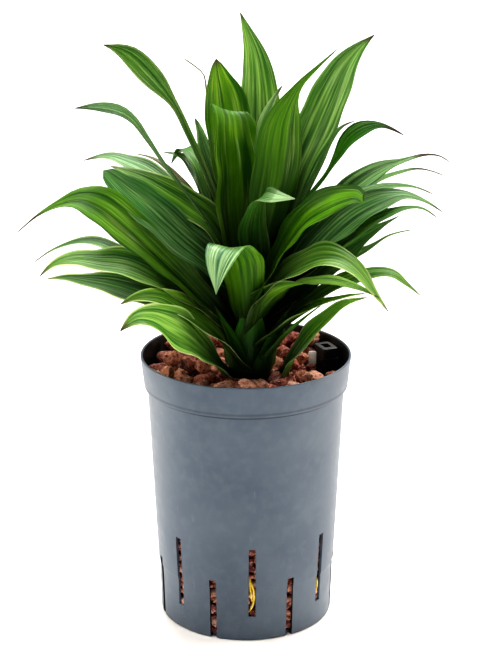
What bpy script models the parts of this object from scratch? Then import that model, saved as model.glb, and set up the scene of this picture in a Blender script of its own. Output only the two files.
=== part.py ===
"""Potted dracaena: a leafy cane in a slotted culture pot that is filled with clay granules.

Metres, +Z up. The origin is the middle of the pot's underside. +X is right and +Y is away from the
front, the side on which the lowest leaves hang over the rim.
"""

import math
import random

import bmesh
import bpy
from mathutils import Matrix, Vector, kdtree, noise

MM = 0.001
GAP = 0.4 * MM
MERGE = 0.00001
GOLDEN_ANGLE = math.radians(137.508)

# The viewer in front of the pot: the height looked at, the distance and the angle from above.
VIEW_HEIGHT = 214 * MM
VIEW_DISTANCE = 1500 * MM
VIEW_TILT = math.radians(18.5)

# Pot: a turned shell with a wider stacking band at the rim.
POT_HEIGHT = 196 * MM
RIM_RADIUS = 75 * MM
BAND_FOOT_RADIUS = 72.6 * MM
BAND_FOOT_HEIGHT = 173 * MM
NECK_RADIUS = 70.2 * MM
FOOT_RADIUS = 62.0 * MM
FOOT_STEP_HEIGHT = 39 * MM
FOOT_STEP = 0.6 * MM
WALL = 1.4 * MM
FLOOR = 2.5 * MM
LIP = 0.9 * MM
EDGE_BREAK = 1.2 * MM
SHELF_SLOPE = 0.6 * MM
POT_SIDES = 56

# Water slots: two staggered rows of seven.
SLOTS_A_ROW = 7
SLOT_WIDTH = 5 * MM
SLOT_CUT_DEPTH = 9 * MM
UPPER_SLOT_TURN = math.radians(4)
UPPER_SLOT_FOOT = 19 * MM
UPPER_SLOT_TOP = 72 * MM
LOWER_SLOT_FOOT = -1 * MM
LOWER_SLOT_TOP = 46 * MM

# Clay granules: a fill with a rough side, and pebbles fused to its top.
FILL_LEVEL = 184 * MM
FILL_SIDES = 32
FILL_RINGS = 9
FILL_ROUGHNESS = 1.6 * MM
PEBBLE_COUNT = 80
PEBBLE_SMALL = 5.2 * MM
PEBBLE_LARGE = 9.0 * MM
PEBBLE_TOP_LIMIT = 193 * MM
PEBBLE_CLEARANCE = 2.5 * MM
HOLES_TOP = 206 * MM
HOLDER_HOLE_DEPTH = 32 * MM

# Cane: it stands a little in front of the pot's middle, and is thicker where leaf bases clasp it.
CANE_X = 4 * MM
CANE_Y = -25 * MM
CANE_RADIUS = 9 * MM
CANE_FOOT = 120 * MM
CLASP_RADIUS = 17 * MM
CLASP_FOOT = 178 * MM
CLASP_FULL = 190 * MM
CLASP_SHOULDER = 242 * MM
CANE_TOP = 292 * MM
CANE_SIDES = 12
CLASP_HOLE_RADIUS = 21 * MM
CLASP_HOLE_FOOT = 174 * MM

# Gauge holder: a black socket against the rim at the right, and a white tab beside it.
HOLDER_TURN = math.radians(24)
HOLDER_RADIUS = 63.5 * MM
HOLDER_WIDTH = 17 * MM
HOLDER_DEPTH = 12 * MM
HOLDER_TOP = 192.5 * MM
HOLDER_FOOT = 176 * MM
SHANK_RADIUS = 60.7 * MM
SHANK_WIDTH = 12 * MM
SHANK_DEPTH = 6.4 * MM
SHANK_FOOT = 130 * MM
HOLDER_SLOT = (8 * MM, 5.5 * MM, 3.5 * MM)
HOLDER_LIP = 0.9 * MM
HOLDER_LIP_HEIGHT = 2.4 * MM
HOLDER_LIP_DROP = 8.5 * MM
HOLDER_BEVEL = 0.8 * MM
TAB_CENTRE = Vector((48 * MM, 21.5 * MM, 0))
TAB_SIZE = Vector((5.6 * MM, 1.4 * MM, 12 * MM))
TAB_TOP = 189.5 * MM

# Leaves: blades with a channelled base and a drawn-out tip.
LEAF_THICKNESS = 0.9 * MM
LEAF_SECTIONS = 8
TIP_WIDTH = 1.6 * MM
CHANNEL = (40, 18, 8)

# Leaves of the front and the sides, drawn by eye as a viewer in front of the pot sees them. A row holds
# the leaf's name, the height at which it leaves the cane, the places that its midrib passes up to its
# tip, its widths at even steps along it, and its turn about the midrib at four even steps, in
# degrees. A place is how far it is seen to the right of the pot's axis and above VIEW_HEIGHT, and how
# far it lies behind that axis. Lengths are in mm.
FRONT_LEAVES = (
    ("high_left", 240, ((-17, 80, -18), (-29, 112, -8), (-41, 139, 2), (-51, 159, 8), (-68, 180, 12),
                        (-84, 195, 12), (-101, 201, 10)),
     (12, 7, 6, 5, 5, 5, 5, 6, 15, 14, 1.6), (0, -30, -60, -80)),
    ("thin_left", 230, ((-22, 66, -32), (-57, 115, -36), (-70, 134, -38), (-79, 147, -40), (-89, 154, -42),
                        (-105, 157, -42), (-121, 156, -42)),
     (12, 6, 5, 4, 4, 4, 4, 6, 8, 1.5), (0, -10, -40, -60)),
    ("grey_left", 224, ((-47, 88, -6), (-68, 110, 4), (-84, 118, 8), (-98, 122, 12), (-115, 119, 14)),
     (12, 17, 24, 26, 23, 14, 1.8), (0, -5, -15, -20)),
    ("broad_left", 220, ((-22, 41, -34), (-47, 63, -40), (-68, 83, -42), (-86, 98, -42), (-101, 112, -40)),
     (13, 20, 28, 32, 32, 29, 14), (0, -35, -45, -40)),
    ("upper_left", 218, ((-22, 71, -20), (-43, 89, -22), (-62, 101, -24), (-78, 109, -24), (-96, 115, -22)),
     (12, 18, 22, 24, 23, 15, 2), (0, -30, -42, -30)),
    ("long_left", 206, ((-26, 15, -42), (-52, 42, -48), (-86, 73, -58), (-105, 87, -62), (-119, 91, -62),
                        (-132, 88, -62), (-146, 81, -62), (-163, 67, -60)),
     (14, 17, 20, 22, 24, 25, 27, 30, 28, 10, 4, 1.4), (0, -45, -55, 10)),
    ("inner_left", 202, ((-43, 30, -40), (-65, 50, -38), (-82, 62, -34)),
     (12, 18, 24, 25, 20, 12, 1.8), (0, -20, -20, 0)),
    ("slim_left", 208, ((-26, 13, -22), (-61, 38, -20), (-89, 54, -14), (-105, 61, -10), (-121, 61, -12),
                        (-138, 55, -14), (-151, 46, -16)),
     (12, 13, 14, 15, 15, 14, 13, 10, 5, 1.4), (0, -10, -20, 0)),
    ("low_left", 198, ((-29, 9, -42), (-54, 29, -48), (-82, 44, -56), (-104, 47, -60), (-121, 49, -62),
                       (-135, 46, -64), (-146, 37, -66)), (13, 20, 28, 32, 29, 17, 1.8), (0, -20, -30, -20)),
    ("dark_left", 194, ((-40, 10, -34), (-68, 22, -36), (-93, 30, -36), (-114, 34, -38), (-128, 36, -38),
                        (-141, 35, -40)), (12, 18, 24, 28, 26, 13, 1.6), (0, -20, -30, -30)),
    ("front_left", 184, ((-5, -28, -44), (-14, -14, -52), (-28, 1, -58), (-45, 13, -64), (-62, 22, -72),
                         (-77, 22, -76), (-89, 17, -80)), (22, 26, 28, 30, 27, 15, 1.8), (0, -25, -35, -25)),
    ("rim_left", 182, ((-11, -36, -50), (-20, -28, -58), (-29, -18, -66), (-40, -8, -76), (-53, 0, -88),
                       (-67, 7, -98), (-78, 7, -105), (-89, -2, -108)),
     (16, 17, 20, 27, 34, 34, 18, 1.8), (0, -35, -55, -30)),
    ("dried_tip", 240, ((-23, 127, 14), (-26, 155, 28), (-28, 168, 34), (-30, 180, 42), (-35, 185, 46),
                        (-45, 192, 44)), (10, 12, 12, 10, 6, 3, 1.6), (0, 10, 20, 60)),
    ("crown_back_left", 236, ((-24, 111, 6), (-30, 129, 12), (-33, 141, 16), (-36, 149, 20)),
     (10, 13, 16, 18, 17, 12, 3), (0, -10, -10, 0)),
    ("crown_left", 242, ((-6, 95, -6), (-11, 127, 4), (-13, 144, 10), (-16, 166, 18), (-19, 180, 24),
                         (-21, 191, 30)), (13, 22, 30, 35, 36, 31, 6), (0, 0, 0, 0)),
    ("crown_folded", 238, ((-3, 56, -28), (-6, 88, -26), (-7, 119, -20), (-9, 137, -16), (-10, 149, -11),
                           (-12, 154, -5), (-13, 152, 2), (-14, 147, 7)),
     (15, 25, 36, 43, 44, 43, 35, 12), (0, 0, 12, 20)),
    ("crown_tall", 246, ((8, 112, 10), (9, 141, 24), (9, 162, 32), (8, 180, 38), (6, 194, 43), (1, 210, 47),
                         (-4, 224, 50)), (13, 20, 28, 32, 31, 19, 1.8), (0, 0, 10, 20)),
    ("crown_short", 248, ((11, 98, -18), (11, 127, -20), (13, 144, -21), (18, 158, -22), (22, 166, -23),
                          (26, 172, -24)), (12, 16, 20, 22, 20, 12, 2), (0, 5, 15, 30)),
    ("crown_right", 240, ((17, 80, -34), (22, 105, -32), (25, 127, -30), (27, 144, -28), (32, 160, -25),
                          (39, 173, -22), (51, 185, -20), (65, 198, -20)),
     (14, 19, 24, 29, 33, 35, 34, 26, 9, 5, 1.8), (-50, -75, -75, -30)),
    ("high_right", 242, ((33, 91, -14), (38, 112, -10), (49, 137, -4), (60, 163, 2), (70, 185, 7),
                         (79, 197, 10), (91, 208, 12)), (12, 16, 23, 29, 33, 24, 2), (0, 15, 30, 30)),
    ("crown_back_right", 238, ((35, 88, 6), (49, 112, 18), (58, 130, 28), (67, 142, 34), (77, 147, 40)),
     (10, 14, 18, 19, 14, 7, 1.6), (0, 0, 0, 0)),
    ("hooked_right", 236, ((31, 76, -25), (56, 107, -28), (65, 122, -30), (72, 133, -31), (82, 141, -32),
                           (95, 144, -33), (112, 137, -34)),
     (12, 7, 6, 5, 5, 5, 5, 5, 11, 14, 4, 1.4), (0, 10, 35, 50)),
    ("long_right", 232, ((38, 63, 0), (63, 88, 8), (81, 104, 12), (96, 113, 16), (112, 119, 18),
                         (127, 123, 20), (138, 122, 20), (145, 117, 20)),
     (11, 11, 12, 13, 14, 17, 19, 16, 6, 3, 1.4), (0, 15, 30, 10)),
    ("thin_right", 228, ((47, 64, 14), (75, 93, 28), (94, 105, 34), (108, 110, 36), (120, 113, 38),
                         (130, 112, 38), (141, 108, 38)), (10, 10, 10, 9, 8, 6, 1.6), (0, 5, 5, 0)),
    ("fan_right_1", 226, ((49, 61, -14), (74, 87, -4), (91, 98, 0), (106, 101, 3), (120, 100, 4),
                          (133, 95, 2)), (12, 18, 24, 26, 18, 7, 1.8), (0, 15, 18, 10)),
    ("fan_right_2", 222, ((51, 56, -32), (77, 80, -32), (99, 91, -32), (113, 94, -32), (127, 90, -34),
                          (140, 82, -36)), (12, 20, 28, 34, 35, 26, 9, 1.8), (0, 20, 30, 5)),
    ("fan_right_3", 218, ((52, 49, -36), (81, 71, -40), (99, 80, -42), (113, 85, -44), (125, 85, -46),
                          (136, 78, -48)), (12, 20, 28, 32, 31, 20, 7, 1.8), (0, 20, 26, 0)),
    ("fan_right_4", 214, ((51, 40, -30), (74, 57, -26), (91, 69, -24), (109, 80, -24)),
     (14, 24, 31, 33, 28, 15, 1.8), (0, 25, 30, 0)),
    ("slim_right", 208, ((49, 32, -26), (74, 49, -22), (89, 58, -19), (102, 66, -18), (118, 70, -18)),
     (12, 18, 24, 23, 15, 5, 1.8), (0, 10, 10, 0)),
    ("broad_right", 212, ((16, 27, -52), (23, 47, -56), (32, 64, -62), (43, 78, -70), (57, 87, -78),
                          (70, 92, -85), (79, 93, -91), (83, 89, -95)),
     (14, 21, 27, 30, 31, 30, 26, 12), (0, 40, 52, 40)),
    ("folded_high", 226, ((7, 47, -42), (6, 71, -50), (9, 88, -58), (13, 94, -66), (22, 93, -75),
                          (35, 92, -86)), (12, 16, 20, 22, 20, 13, 1.6), (-40, -40, 20, 50)),
    ("folded_front", 190, ((-1, 13, -50), (-3, 34, -62), (-6, 50, -76), (-12, 57, -90), (-18, 49, -100),
                           (-21, 24, -106)), (10, 14, 23, 31, 33, 24, 1.6), (0, 0, 0, 0)),
    ("arched_right", 194, ((9, 7, -46), (13, 19, -50), (23, 32, -56), (38, 43, -64), (55, 50, -72),
                           (69, 48, -80), (80, 40, -86), (89, 28, -92), (101, 12, -98)),
     (14, 18, 22, 26, 30, 30, 17, 9, 1.8), (0, 25, 30, 0)),
    ("hanging_right", 200, ((45, 18, -42), (70, 32, -50), (89, 38, -58), (104, 38, -62), (113, 32, -64),
                            (124, 23, -66)), (10, 14, 18, 21, 19, 12, 1.8), (0, 15, 20, 0)),
    ("low_right", 194, ((7, 2, -44), (14, 17, -52), (26, 27, -60), (42, 32, -68), (63, 32, -78),
                        (81, 28, -90), (94, 22, -96)), (14, 21, 27, 29, 24, 14, 1.8), (0, -25, 0, 0)),
    ("low_right_inner", 192, ((18, -8, -44), (33, 5, -50), (51, 16, -58), (70, 22, -66), (85, 25, -74)),
     (12, 18, 24, 25, 19, 11, 1.8), (0, 10, 10, 0)),
    ("rim_right", 184, ((27, -35, -46), (35, -21, -52), (45, -7, -60), (56, 5, -66), (66, 14, -72),
                        (75, 19, -78), (86, 22, -82)), (13, 18, 22, 24, 22, 13, 1.8), (0, 30, 40, 20)),
    ("base_left", 178, ((-7, -34, -44), (-10, -18, -46), (-15, -2, -48), (-22, 16, -48)),
     (24, 27, 28, 26, 20, 11, 1.6), (0, 0, 0, 0)),
    ("base_middle", 178, ((3, -34, -45), (3, -16, -46), (4, 4, -47), (6, 26, -48)),
     (26, 29, 30, 28, 22, 12, 1.6), (0, 0, 0, 0)),
    ("base_right", 178, ((14, -34, -43), (18, -18, -45), (24, -2, -47), (32, 15, -48)),
     (24, 27, 28, 25, 19, 10, 1.6), (0, 0, 0, 0)),
    ("rim_right_inner", 190, ((17, -20, -44), (26, -8, -50), (36, 2, -56), (45, 10, -58), (54, 17, -60)),
     (10, 16, 20, 21, 16, 9, 1.8), (0, 15, 10, 0)),
    ("far_left_upper", 226, ((-22, 94, 14), (-33, 111, 30), (-43, 121, 40), (-59, 125, 46)),
     (10, 16, 22, 25, 22, 13, 2), (0, -15, -15, 0)),
    ("far_left_lower", 222, ((-36, 87, 22), (-52, 110, 36), (-65, 120, 42), (-79, 124, 46)),
     (6, 9, 12, 13, 11, 6, 1.4), (0, -8, -8, 0)),
)

# Leaves of the far side, from the lowest to the highest. They spread over an arc by the golden ratio.
BACK_LEAF_COUNT = 15
BACK_ROOT = (200, 240)
BACK_REACH = (150, 84)
BACK_RISE = (50, 118)
BACK_WIDTH = (34, 28)
BACK_WIDTH_SHARES = (0.36, 0.56, 0.84, 1.0, 0.9, 0.5, 0.05)
BACK_ARC_START = (56, 62)
BACK_ARC_END = (158, 138)
BACK_MIDRIB = ((0.30, 0.62), (0.58, 0.95), (0.82, 1.0), (1.0, 0.86))
GOLDEN_SHARE = 0.618034


def clear_scene():
    for item in list(bpy.data.objects):
        bpy.data.objects.remove(item, do_unlink=True)


def new_collection(name):
    collection = bpy.data.collections.new(name)
    bpy.context.scene.collection.children.link(collection)
    return collection


def make_material(name, colour, roughness):
    material = bpy.data.materials.new(name)
    material.use_nodes = True
    shader = material.node_tree.nodes["Principled BSDF"]
    shader.inputs["Base Color"].default_value = (*colour, 1.0)
    shader.inputs["Roughness"].default_value = roughness
    shader.inputs["Metallic"].default_value = 0.0
    return material


def add_object(name, bm, collection, material=None):
    """Turn a bmesh into an object in a collection."""
    mesh = bpy.data.meshes.new(name)
    bm.to_mesh(mesh)
    bm.free()
    item = bpy.data.objects.new(name, mesh)
    collection.objects.link(item)
    if material:
        mesh.materials.append(material)
    return item


def hide_as_cutter(item):
    item.hide_render = True
    item.display_type = "WIRE"


def apply_modifiers(item):
    """Keep the shape that the modifiers give, and drop the modifiers."""
    shape = item.evaluated_get(bpy.context.evaluated_depsgraph_get())
    mesh = bpy.data.meshes.new_from_object(shape)
    item.modifiers.clear()
    item.data = mesh


def combine(item, operation, other, solver="EXACT"):
    """Cut or join another object, or every object of a collection, and apply it."""
    step = item.modifiers.new(operation.lower(), "BOOLEAN")
    step.operation = operation
    step.solver = solver
    if isinstance(other, bpy.types.Collection):
        step.operand_type = "COLLECTION"
        step.collection = other
    else:
        step.object = other
    apply_modifiers(item)


def drop_collection(collection):
    for item in list(collection.objects):
        bpy.data.objects.remove(item, do_unlink=True)
    bpy.data.collections.remove(collection)


def box_bmesh(size, centre, turn=0.0):
    bm = bmesh.new()
    bmesh.ops.create_cube(bm, size=1.0)
    bmesh.ops.scale(bm, vec=size, verts=bm.verts)
    bmesh.ops.translate(bm, vec=centre, verts=bm.verts)
    bmesh.ops.rotate(bm, cent=(0, 0, 0), matrix=Matrix.Rotation(turn, 3, "Z"), verts=bm.verts)
    return bm


def turned(name, profile, sides, collection, material=None):
    """Turn a profile of (radius, height) points about the upright axis."""
    bm = bmesh.new()
    verts = [bm.verts.new((radius, 0, height)) for radius, height in profile]
    for start, end in zip(verts, verts[1:]):
        bm.edges.new((start, end))
    item = add_object(name, bm, collection, material)
    screw = item.modifiers.new("turn", "SCREW")
    screw.steps = sides
    screw.render_steps = sides
    screw.use_merge_vertices = True
    screw.merge_threshold = MERGE
    apply_modifiers(item)
    return item


def inner_radius(height):
    """Radius of the pot's inner wall, below its stacking band and within it."""
    if height < BAND_FOOT_HEIGHT + WALL:
        share = height / BAND_FOOT_HEIGHT
        return FOOT_RADIUS + (NECK_RADIUS - FOOT_RADIUS) * share - WALL - FOOT_STEP
    share = (height - BAND_FOOT_HEIGHT) / (POT_HEIGHT - BAND_FOOT_HEIGHT)
    return BAND_FOOT_RADIUS + (RIM_RADIUS - BAND_FOOT_RADIUS) * share - WALL


def pot_profile():
    shelf = BAND_FOOT_HEIGHT + WALL
    share = FOOT_STEP_HEIGHT / BAND_FOOT_HEIGHT
    step_radius = FOOT_RADIUS + (NECK_RADIUS - FOOT_RADIUS) * share
    lip = [(RIM_RADIUS - LIP + LIP * math.sin(turn), POT_HEIGHT - LIP + LIP * math.cos(turn))
           for turn in (math.radians(step) for step in (-90, -45, 0, 45, 90))]
    return ([(0, FLOOR), (inner_radius(FLOOR), FLOOR), (inner_radius(shelf - MERGE), shelf - SHELF_SLOPE),
             (inner_radius(shelf) - SHELF_SLOPE / 2, shelf + SHELF_SLOPE)]
            + lip
            + [(BAND_FOOT_RADIUS, BAND_FOOT_HEIGHT), (NECK_RADIUS, BAND_FOOT_HEIGHT - EDGE_BREAK),
               (step_radius, FOOT_STEP_HEIGHT + EDGE_BREAK), (step_radius - FOOT_STEP, FOOT_STEP_HEIGHT),
               (FOOT_RADIUS, EDGE_BREAK), (FOOT_RADIUS - EDGE_BREAK, 0), (0, 0)])


def slot_cutter(collection):
    """All the slots as thin upright boxes around the foot."""
    joined = bmesh.new()
    pitch = math.tau / SLOTS_A_ROW
    front = -math.pi / 2
    rows = ((UPPER_SLOT_TURN, UPPER_SLOT_FOOT, UPPER_SLOT_TOP),
            (UPPER_SLOT_TURN + pitch / 2, LOWER_SLOT_FOOT, LOWER_SLOT_TOP))
    for first_turn, foot, top in rows:
        for index in range(SLOTS_A_ROW):
            size = (SLOT_CUT_DEPTH, SLOT_WIDTH, top - foot)
            slot = box_bmesh(size, (FOOT_RADIUS, 0, (top + foot) / 2), front + first_turn + index * pitch)
            mesh = bpy.data.meshes.new("slot")
            slot.to_mesh(mesh)
            slot.free()
            joined.from_mesh(mesh)
            bpy.data.meshes.remove(mesh)
    cutter = add_object("slot_cutter", joined, collection)
    hide_as_cutter(cutter)
    return cutter


def make_pot(parts, cutters):
    material = make_material("grey_blue_plastic", (0.16, 0.20, 0.25), 0.5)
    pot = turned("pot", pot_profile(), POT_SIDES, parts, material)
    combine(pot, "DIFFERENCE", slot_cutter(cutters))
    pot.data.shade_smooth()
    pot.data.set_sharp_from_angle(angle=math.radians(30))
    return pot


def make_holder(parts, cutters):
    """The gauge holder: a head with a shallow slot, a lip around it and a shank in the granules."""
    material = make_material("black_plastic", (0.012, 0.012, 0.014), 0.35)
    head_height = HOLDER_TOP - HOLDER_FOOT
    head = box_bmesh((HOLDER_DEPTH, HOLDER_WIDTH, head_height),
                     (HOLDER_RADIUS, 0, HOLDER_FOOT + head_height / 2), HOLDER_TURN)
    bmesh.ops.bevel(head, geom=[edge for edge in head.edges], offset=HOLDER_BEVEL, segments=1, affect="EDGES")
    holder = add_object("gauge_holder", head, parts, material)

    lip_size = (HOLDER_DEPTH + 2 * HOLDER_LIP, HOLDER_WIDTH + 2 * HOLDER_LIP, HOLDER_LIP_HEIGHT)
    lip_centre = (HOLDER_RADIUS, 0, HOLDER_TOP - HOLDER_LIP_DROP)
    lip = add_object("lip", box_bmesh(lip_size, lip_centre, HOLDER_TURN), cutters)
    combine(holder, "UNION", lip)
    shank_height = HOLDER_FOOT + 2 * MM - SHANK_FOOT
    shank_size = (SHANK_DEPTH, SHANK_WIDTH, shank_height)
    shank_centre = (SHANK_RADIUS, 0, SHANK_FOOT + shank_height / 2)
    shank = add_object("shank", box_bmesh(shank_size, shank_centre, HOLDER_TURN), cutters)
    combine(holder, "UNION", shank)
    width, depth, drop = HOLDER_SLOT
    slot_size = (depth, width, 2 * drop)
    slot = add_object("slot", box_bmesh(slot_size, (HOLDER_RADIUS, 0, HOLDER_TOP), HOLDER_TURN), cutters)
    combine(holder, "DIFFERENCE", slot)
    for item in (lip, shank, slot):
        bpy.data.objects.remove(item, do_unlink=True)
    return holder


def make_tab(parts):
    material = make_material("white_plastic", (0.75, 0.75, 0.73), 0.4)
    centre = TAB_CENTRE + Vector((0, 0, TAB_TOP - TAB_SIZE.z / 2))
    return add_object("white_tab", box_bmesh(TAB_SIZE, centre), parts, material)


def smooth_path(points, count):
    """Even points along a smooth curve through the given points."""
    points = [Vector(point) for point in points]
    knots = [0.0]
    for start, end in zip(points, points[1:]):
        knots.append(knots[-1] + math.sqrt((end - start).length))
    slopes = []
    for index, point in enumerate(points):
        before = (point - points[index - 1]) / (knots[index] - knots[index - 1]) if index else None
        after = None
        if index + 1 < len(points):
            after = (points[index + 1] - point) / (knots[index + 1] - knots[index])
        if before is None or after is None:
            slopes.append(before or after)
            continue
        share = (knots[index] - knots[index - 1]) / (knots[index + 1] - knots[index - 1])
        slopes.append(before.lerp(after, share))
    slopes[-1] = 1.5 * slopes[-1] - 0.5 * slopes[-2]

    fine = []
    steps = 24
    for index in range(len(points) - 1):
        span = knots[index + 1] - knots[index]
        for step in range(steps):
            u = step / steps
            start = (2 * u**3 - 3 * u**2 + 1) * points[index] + (u**3 - 2 * u**2 + u) * span * slopes[index]
            end = (3 * u**2 - 2 * u**3) * points[index + 1] + (u**3 - u**2) * span * slopes[index + 1]
            fine.append(start + end)
    fine.append(points[-1])
    lengths = [0.0]
    for start, end in zip(fine, fine[1:]):
        lengths.append(lengths[-1] + (end - start).length)
    even = []
    index = 0
    for number in range(count + 1):
        target = lengths[-1] * number / count
        while index < len(fine) - 2 and lengths[index + 1] < target:
            index += 1
        share = (target - lengths[index]) / (lengths[index + 1] - lengths[index])
        even.append(fine[index].lerp(fine[index + 1], share))
    return even


def along(values, share):
    """A value at a share of the way along a row of even values, on a smooth curve through them."""
    place = share * (len(values) - 1)
    index = min(int(place), len(values) - 2)
    u = place - index
    before, start, end, after = (values[min(max(index + step, 0), len(values) - 1)] for step in (-1, 0, 1, 2))
    bend = 2 * before - 5 * start + 4 * end - after + u * (3 * (start - end) + after - before)
    return start + 0.5 * u * (end - before + u * bend)


def seen(across, up, back):
    """The place that the viewer sees so far right of the axis and above VIEW_HEIGHT, at its depth, in mm."""
    away = VIEW_DISTANCE / MM * math.cos(VIEW_TILT)
    eye = (VIEW_HEIGHT + VIEW_DISTANCE * math.sin(VIEW_TILT)) / MM
    share = (back + away) / (up * math.sin(VIEW_TILT) + away)
    drawn = VIEW_HEIGHT / MM + up * math.cos(VIEW_TILT)
    return Vector((across * share, back, eye + (drawn - eye) * share)) * MM


def blade_sections(points, widths, turns, count, across):
    """Rows of points across a blade, from its base to its tip."""
    path = smooth_path(points, count)
    heading = path[-1] - path[0]
    heading.z = 0
    side = Vector((-heading.y, heading.x, 0)).normalized()
    rows = []
    for index, point in enumerate(path):
        share = index / count
        ahead = (path[min(index + 1, count)] - path[max(index - 1, 0)]).normalized()
        flat = (side - side.dot(ahead) * ahead).normalized()
        up = ahead.cross(flat)
        turn = math.radians(along(turns, share))
        flat, up = flat * math.cos(turn) + up * math.sin(turn), up * math.cos(turn) - flat * math.sin(turn)
        fold = math.radians(along(CHANNEL, share))
        half = max(along(widths, share) * MM, TIP_WIDTH) / 2
        row = []
        for step in range(across + 1):
            offset = 2 * step / across - 1
            row.append(point + flat * half * offset * math.cos(fold)
                       + up * half * abs(offset) ** 1.3 * math.sin(fold))
        rows.append(row)
    return rows


def leaf_rows():
    """Every leaf as its name, midrib points from the cane's axis to the tip, and blade values, in metres."""
    leaves = []
    for name, root, places, widths, turns in FRONT_LEAVES:
        path = [Vector((CANE_X, CANE_Y, root * MM))] + [seen(*place) for place in places]
        leaves.append((name, path, widths, turns))
    for index in range(BACK_LEAF_COUNT):
        share = index / (BACK_LEAF_COUNT - 1)
        ranges = (BACK_ROOT, BACK_REACH, BACK_RISE, BACK_WIDTH, BACK_ARC_START, BACK_ARC_END)
        root, reach, rise, width, arc_start, arc_end = (low + (high - low) * share for low, high in ranges)
        turn = math.radians(arc_start + (arc_end - arc_start) * (index * GOLDEN_SHARE % 1))
        away = Vector((math.cos(turn), math.sin(turn), 0))
        foot = Vector((CANE_X, CANE_Y, root * MM))
        path = [foot]
        path += [foot + (away * reach * out + Vector((0, 0, rise * up))) * MM for out, up in BACK_MIDRIB]
        widths = [width * part for part in BACK_WIDTH_SHARES]
        leaves.append((f"back_{index + 1}", path, widths, (0, 8 * (-1) ** index, 0)))
    return leaves


def leaf_bmesh(rows):
    """A blade as a grid, split into triangles so that both faces will match."""
    bm = bmesh.new()
    bmesh.ops.create_grid(bm, x_segments=len(rows[0]) - 1, y_segments=len(rows) - 1, size=1)
    verts = sorted(bm.verts, key=lambda vert: (round(vert.co.y, 4), round(vert.co.x, 4)))
    for vert, place in zip(verts, (point for row in rows for point in row)):
        vert.co = place
    bmesh.ops.triangulate(bm, faces=bm.faces, quad_method="SHORT_EDGE")
    return bm


def keep_outer_shell(item):
    """Drop the closed pockets that crossing leaves leave inside the joined body."""
    bm = bmesh.new()
    bm.from_mesh(item.data)
    bm.verts.ensure_lookup_table()
    shells = []
    seen = set()
    for vert in bm.verts:
        if vert in seen:
            continue
        shell = set()
        queue = [vert]
        while queue:
            current = queue.pop()
            if current in shell:
                continue
            shell.add(current)
            queue.extend(edge.other_vert(current) for edge in current.link_edges)
        seen |= shell
        shells.append(shell)
    largest = max(shells, key=len)
    spare = [vert for shell in shells if shell is not largest for vert in shell]
    bmesh.ops.delete(bm, geom=spare, context="VERTS")
    bm.to_mesh(item.data)
    bm.free()


def make_cane(parts):
    """The cane with every leaf fused to it."""
    material = make_material("leaf_green", (0.06, 0.20, 0.03), 0.4)
    profile = [(0, CANE_TOP), (CANE_RADIUS * 0.5, CANE_TOP), (CLASP_RADIUS, CLASP_SHOULDER),
               (CLASP_RADIUS, CLASP_FULL), (CANE_RADIUS, CLASP_FOOT), (CANE_RADIUS, CANE_FOOT),
               (0, CANE_FOOT)]
    cane = turned("leafy_cane", profile, CANE_SIDES, parts, material)
    cane.data.transform(Matrix.Translation((CANE_X, CANE_Y, 0)))
    leaves = new_collection("leaves")
    places = []
    for name, path, widths, turns in leaf_rows():
        fine_rows = blade_sections(path, widths, turns, 4 * LEAF_SECTIONS, 4)
        places.extend(point for row in fine_rows for point in row)
        rows = blade_sections(path, widths, turns, LEAF_SECTIONS, 2)
        leaf = add_object(name, leaf_bmesh(rows), leaves)
        skin = leaf.modifiers.new("thickness", "SOLIDIFY")
        skin.thickness = LEAF_THICKNESS
        skin.offset = 0
        apply_modifiers(leaf)
    combine(cane, "UNION", leaves)
    drop_collection(leaves)
    keep_outer_shell(cane)
    return cane, places


def fill_profile():
    shelf = BAND_FOOT_HEIGHT + WALL
    floor = FLOOR + GAP
    low = [floor + (BAND_FOOT_HEIGHT - floor) * step / FILL_RINGS for step in range(FILL_RINGS, -1, -1)]
    return ([(0, FILL_LEVEL), (inner_radius(FILL_LEVEL) - 2 * GAP, FILL_LEVEL),
             (inner_radius(shelf) - 2 * GAP, shelf + 3 * GAP),
             (inner_radius(BAND_FOOT_HEIGHT) - GAP, shelf)]
            + [(inner_radius(height) - GAP, height) for height in low] + [(0, floor)])


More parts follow.
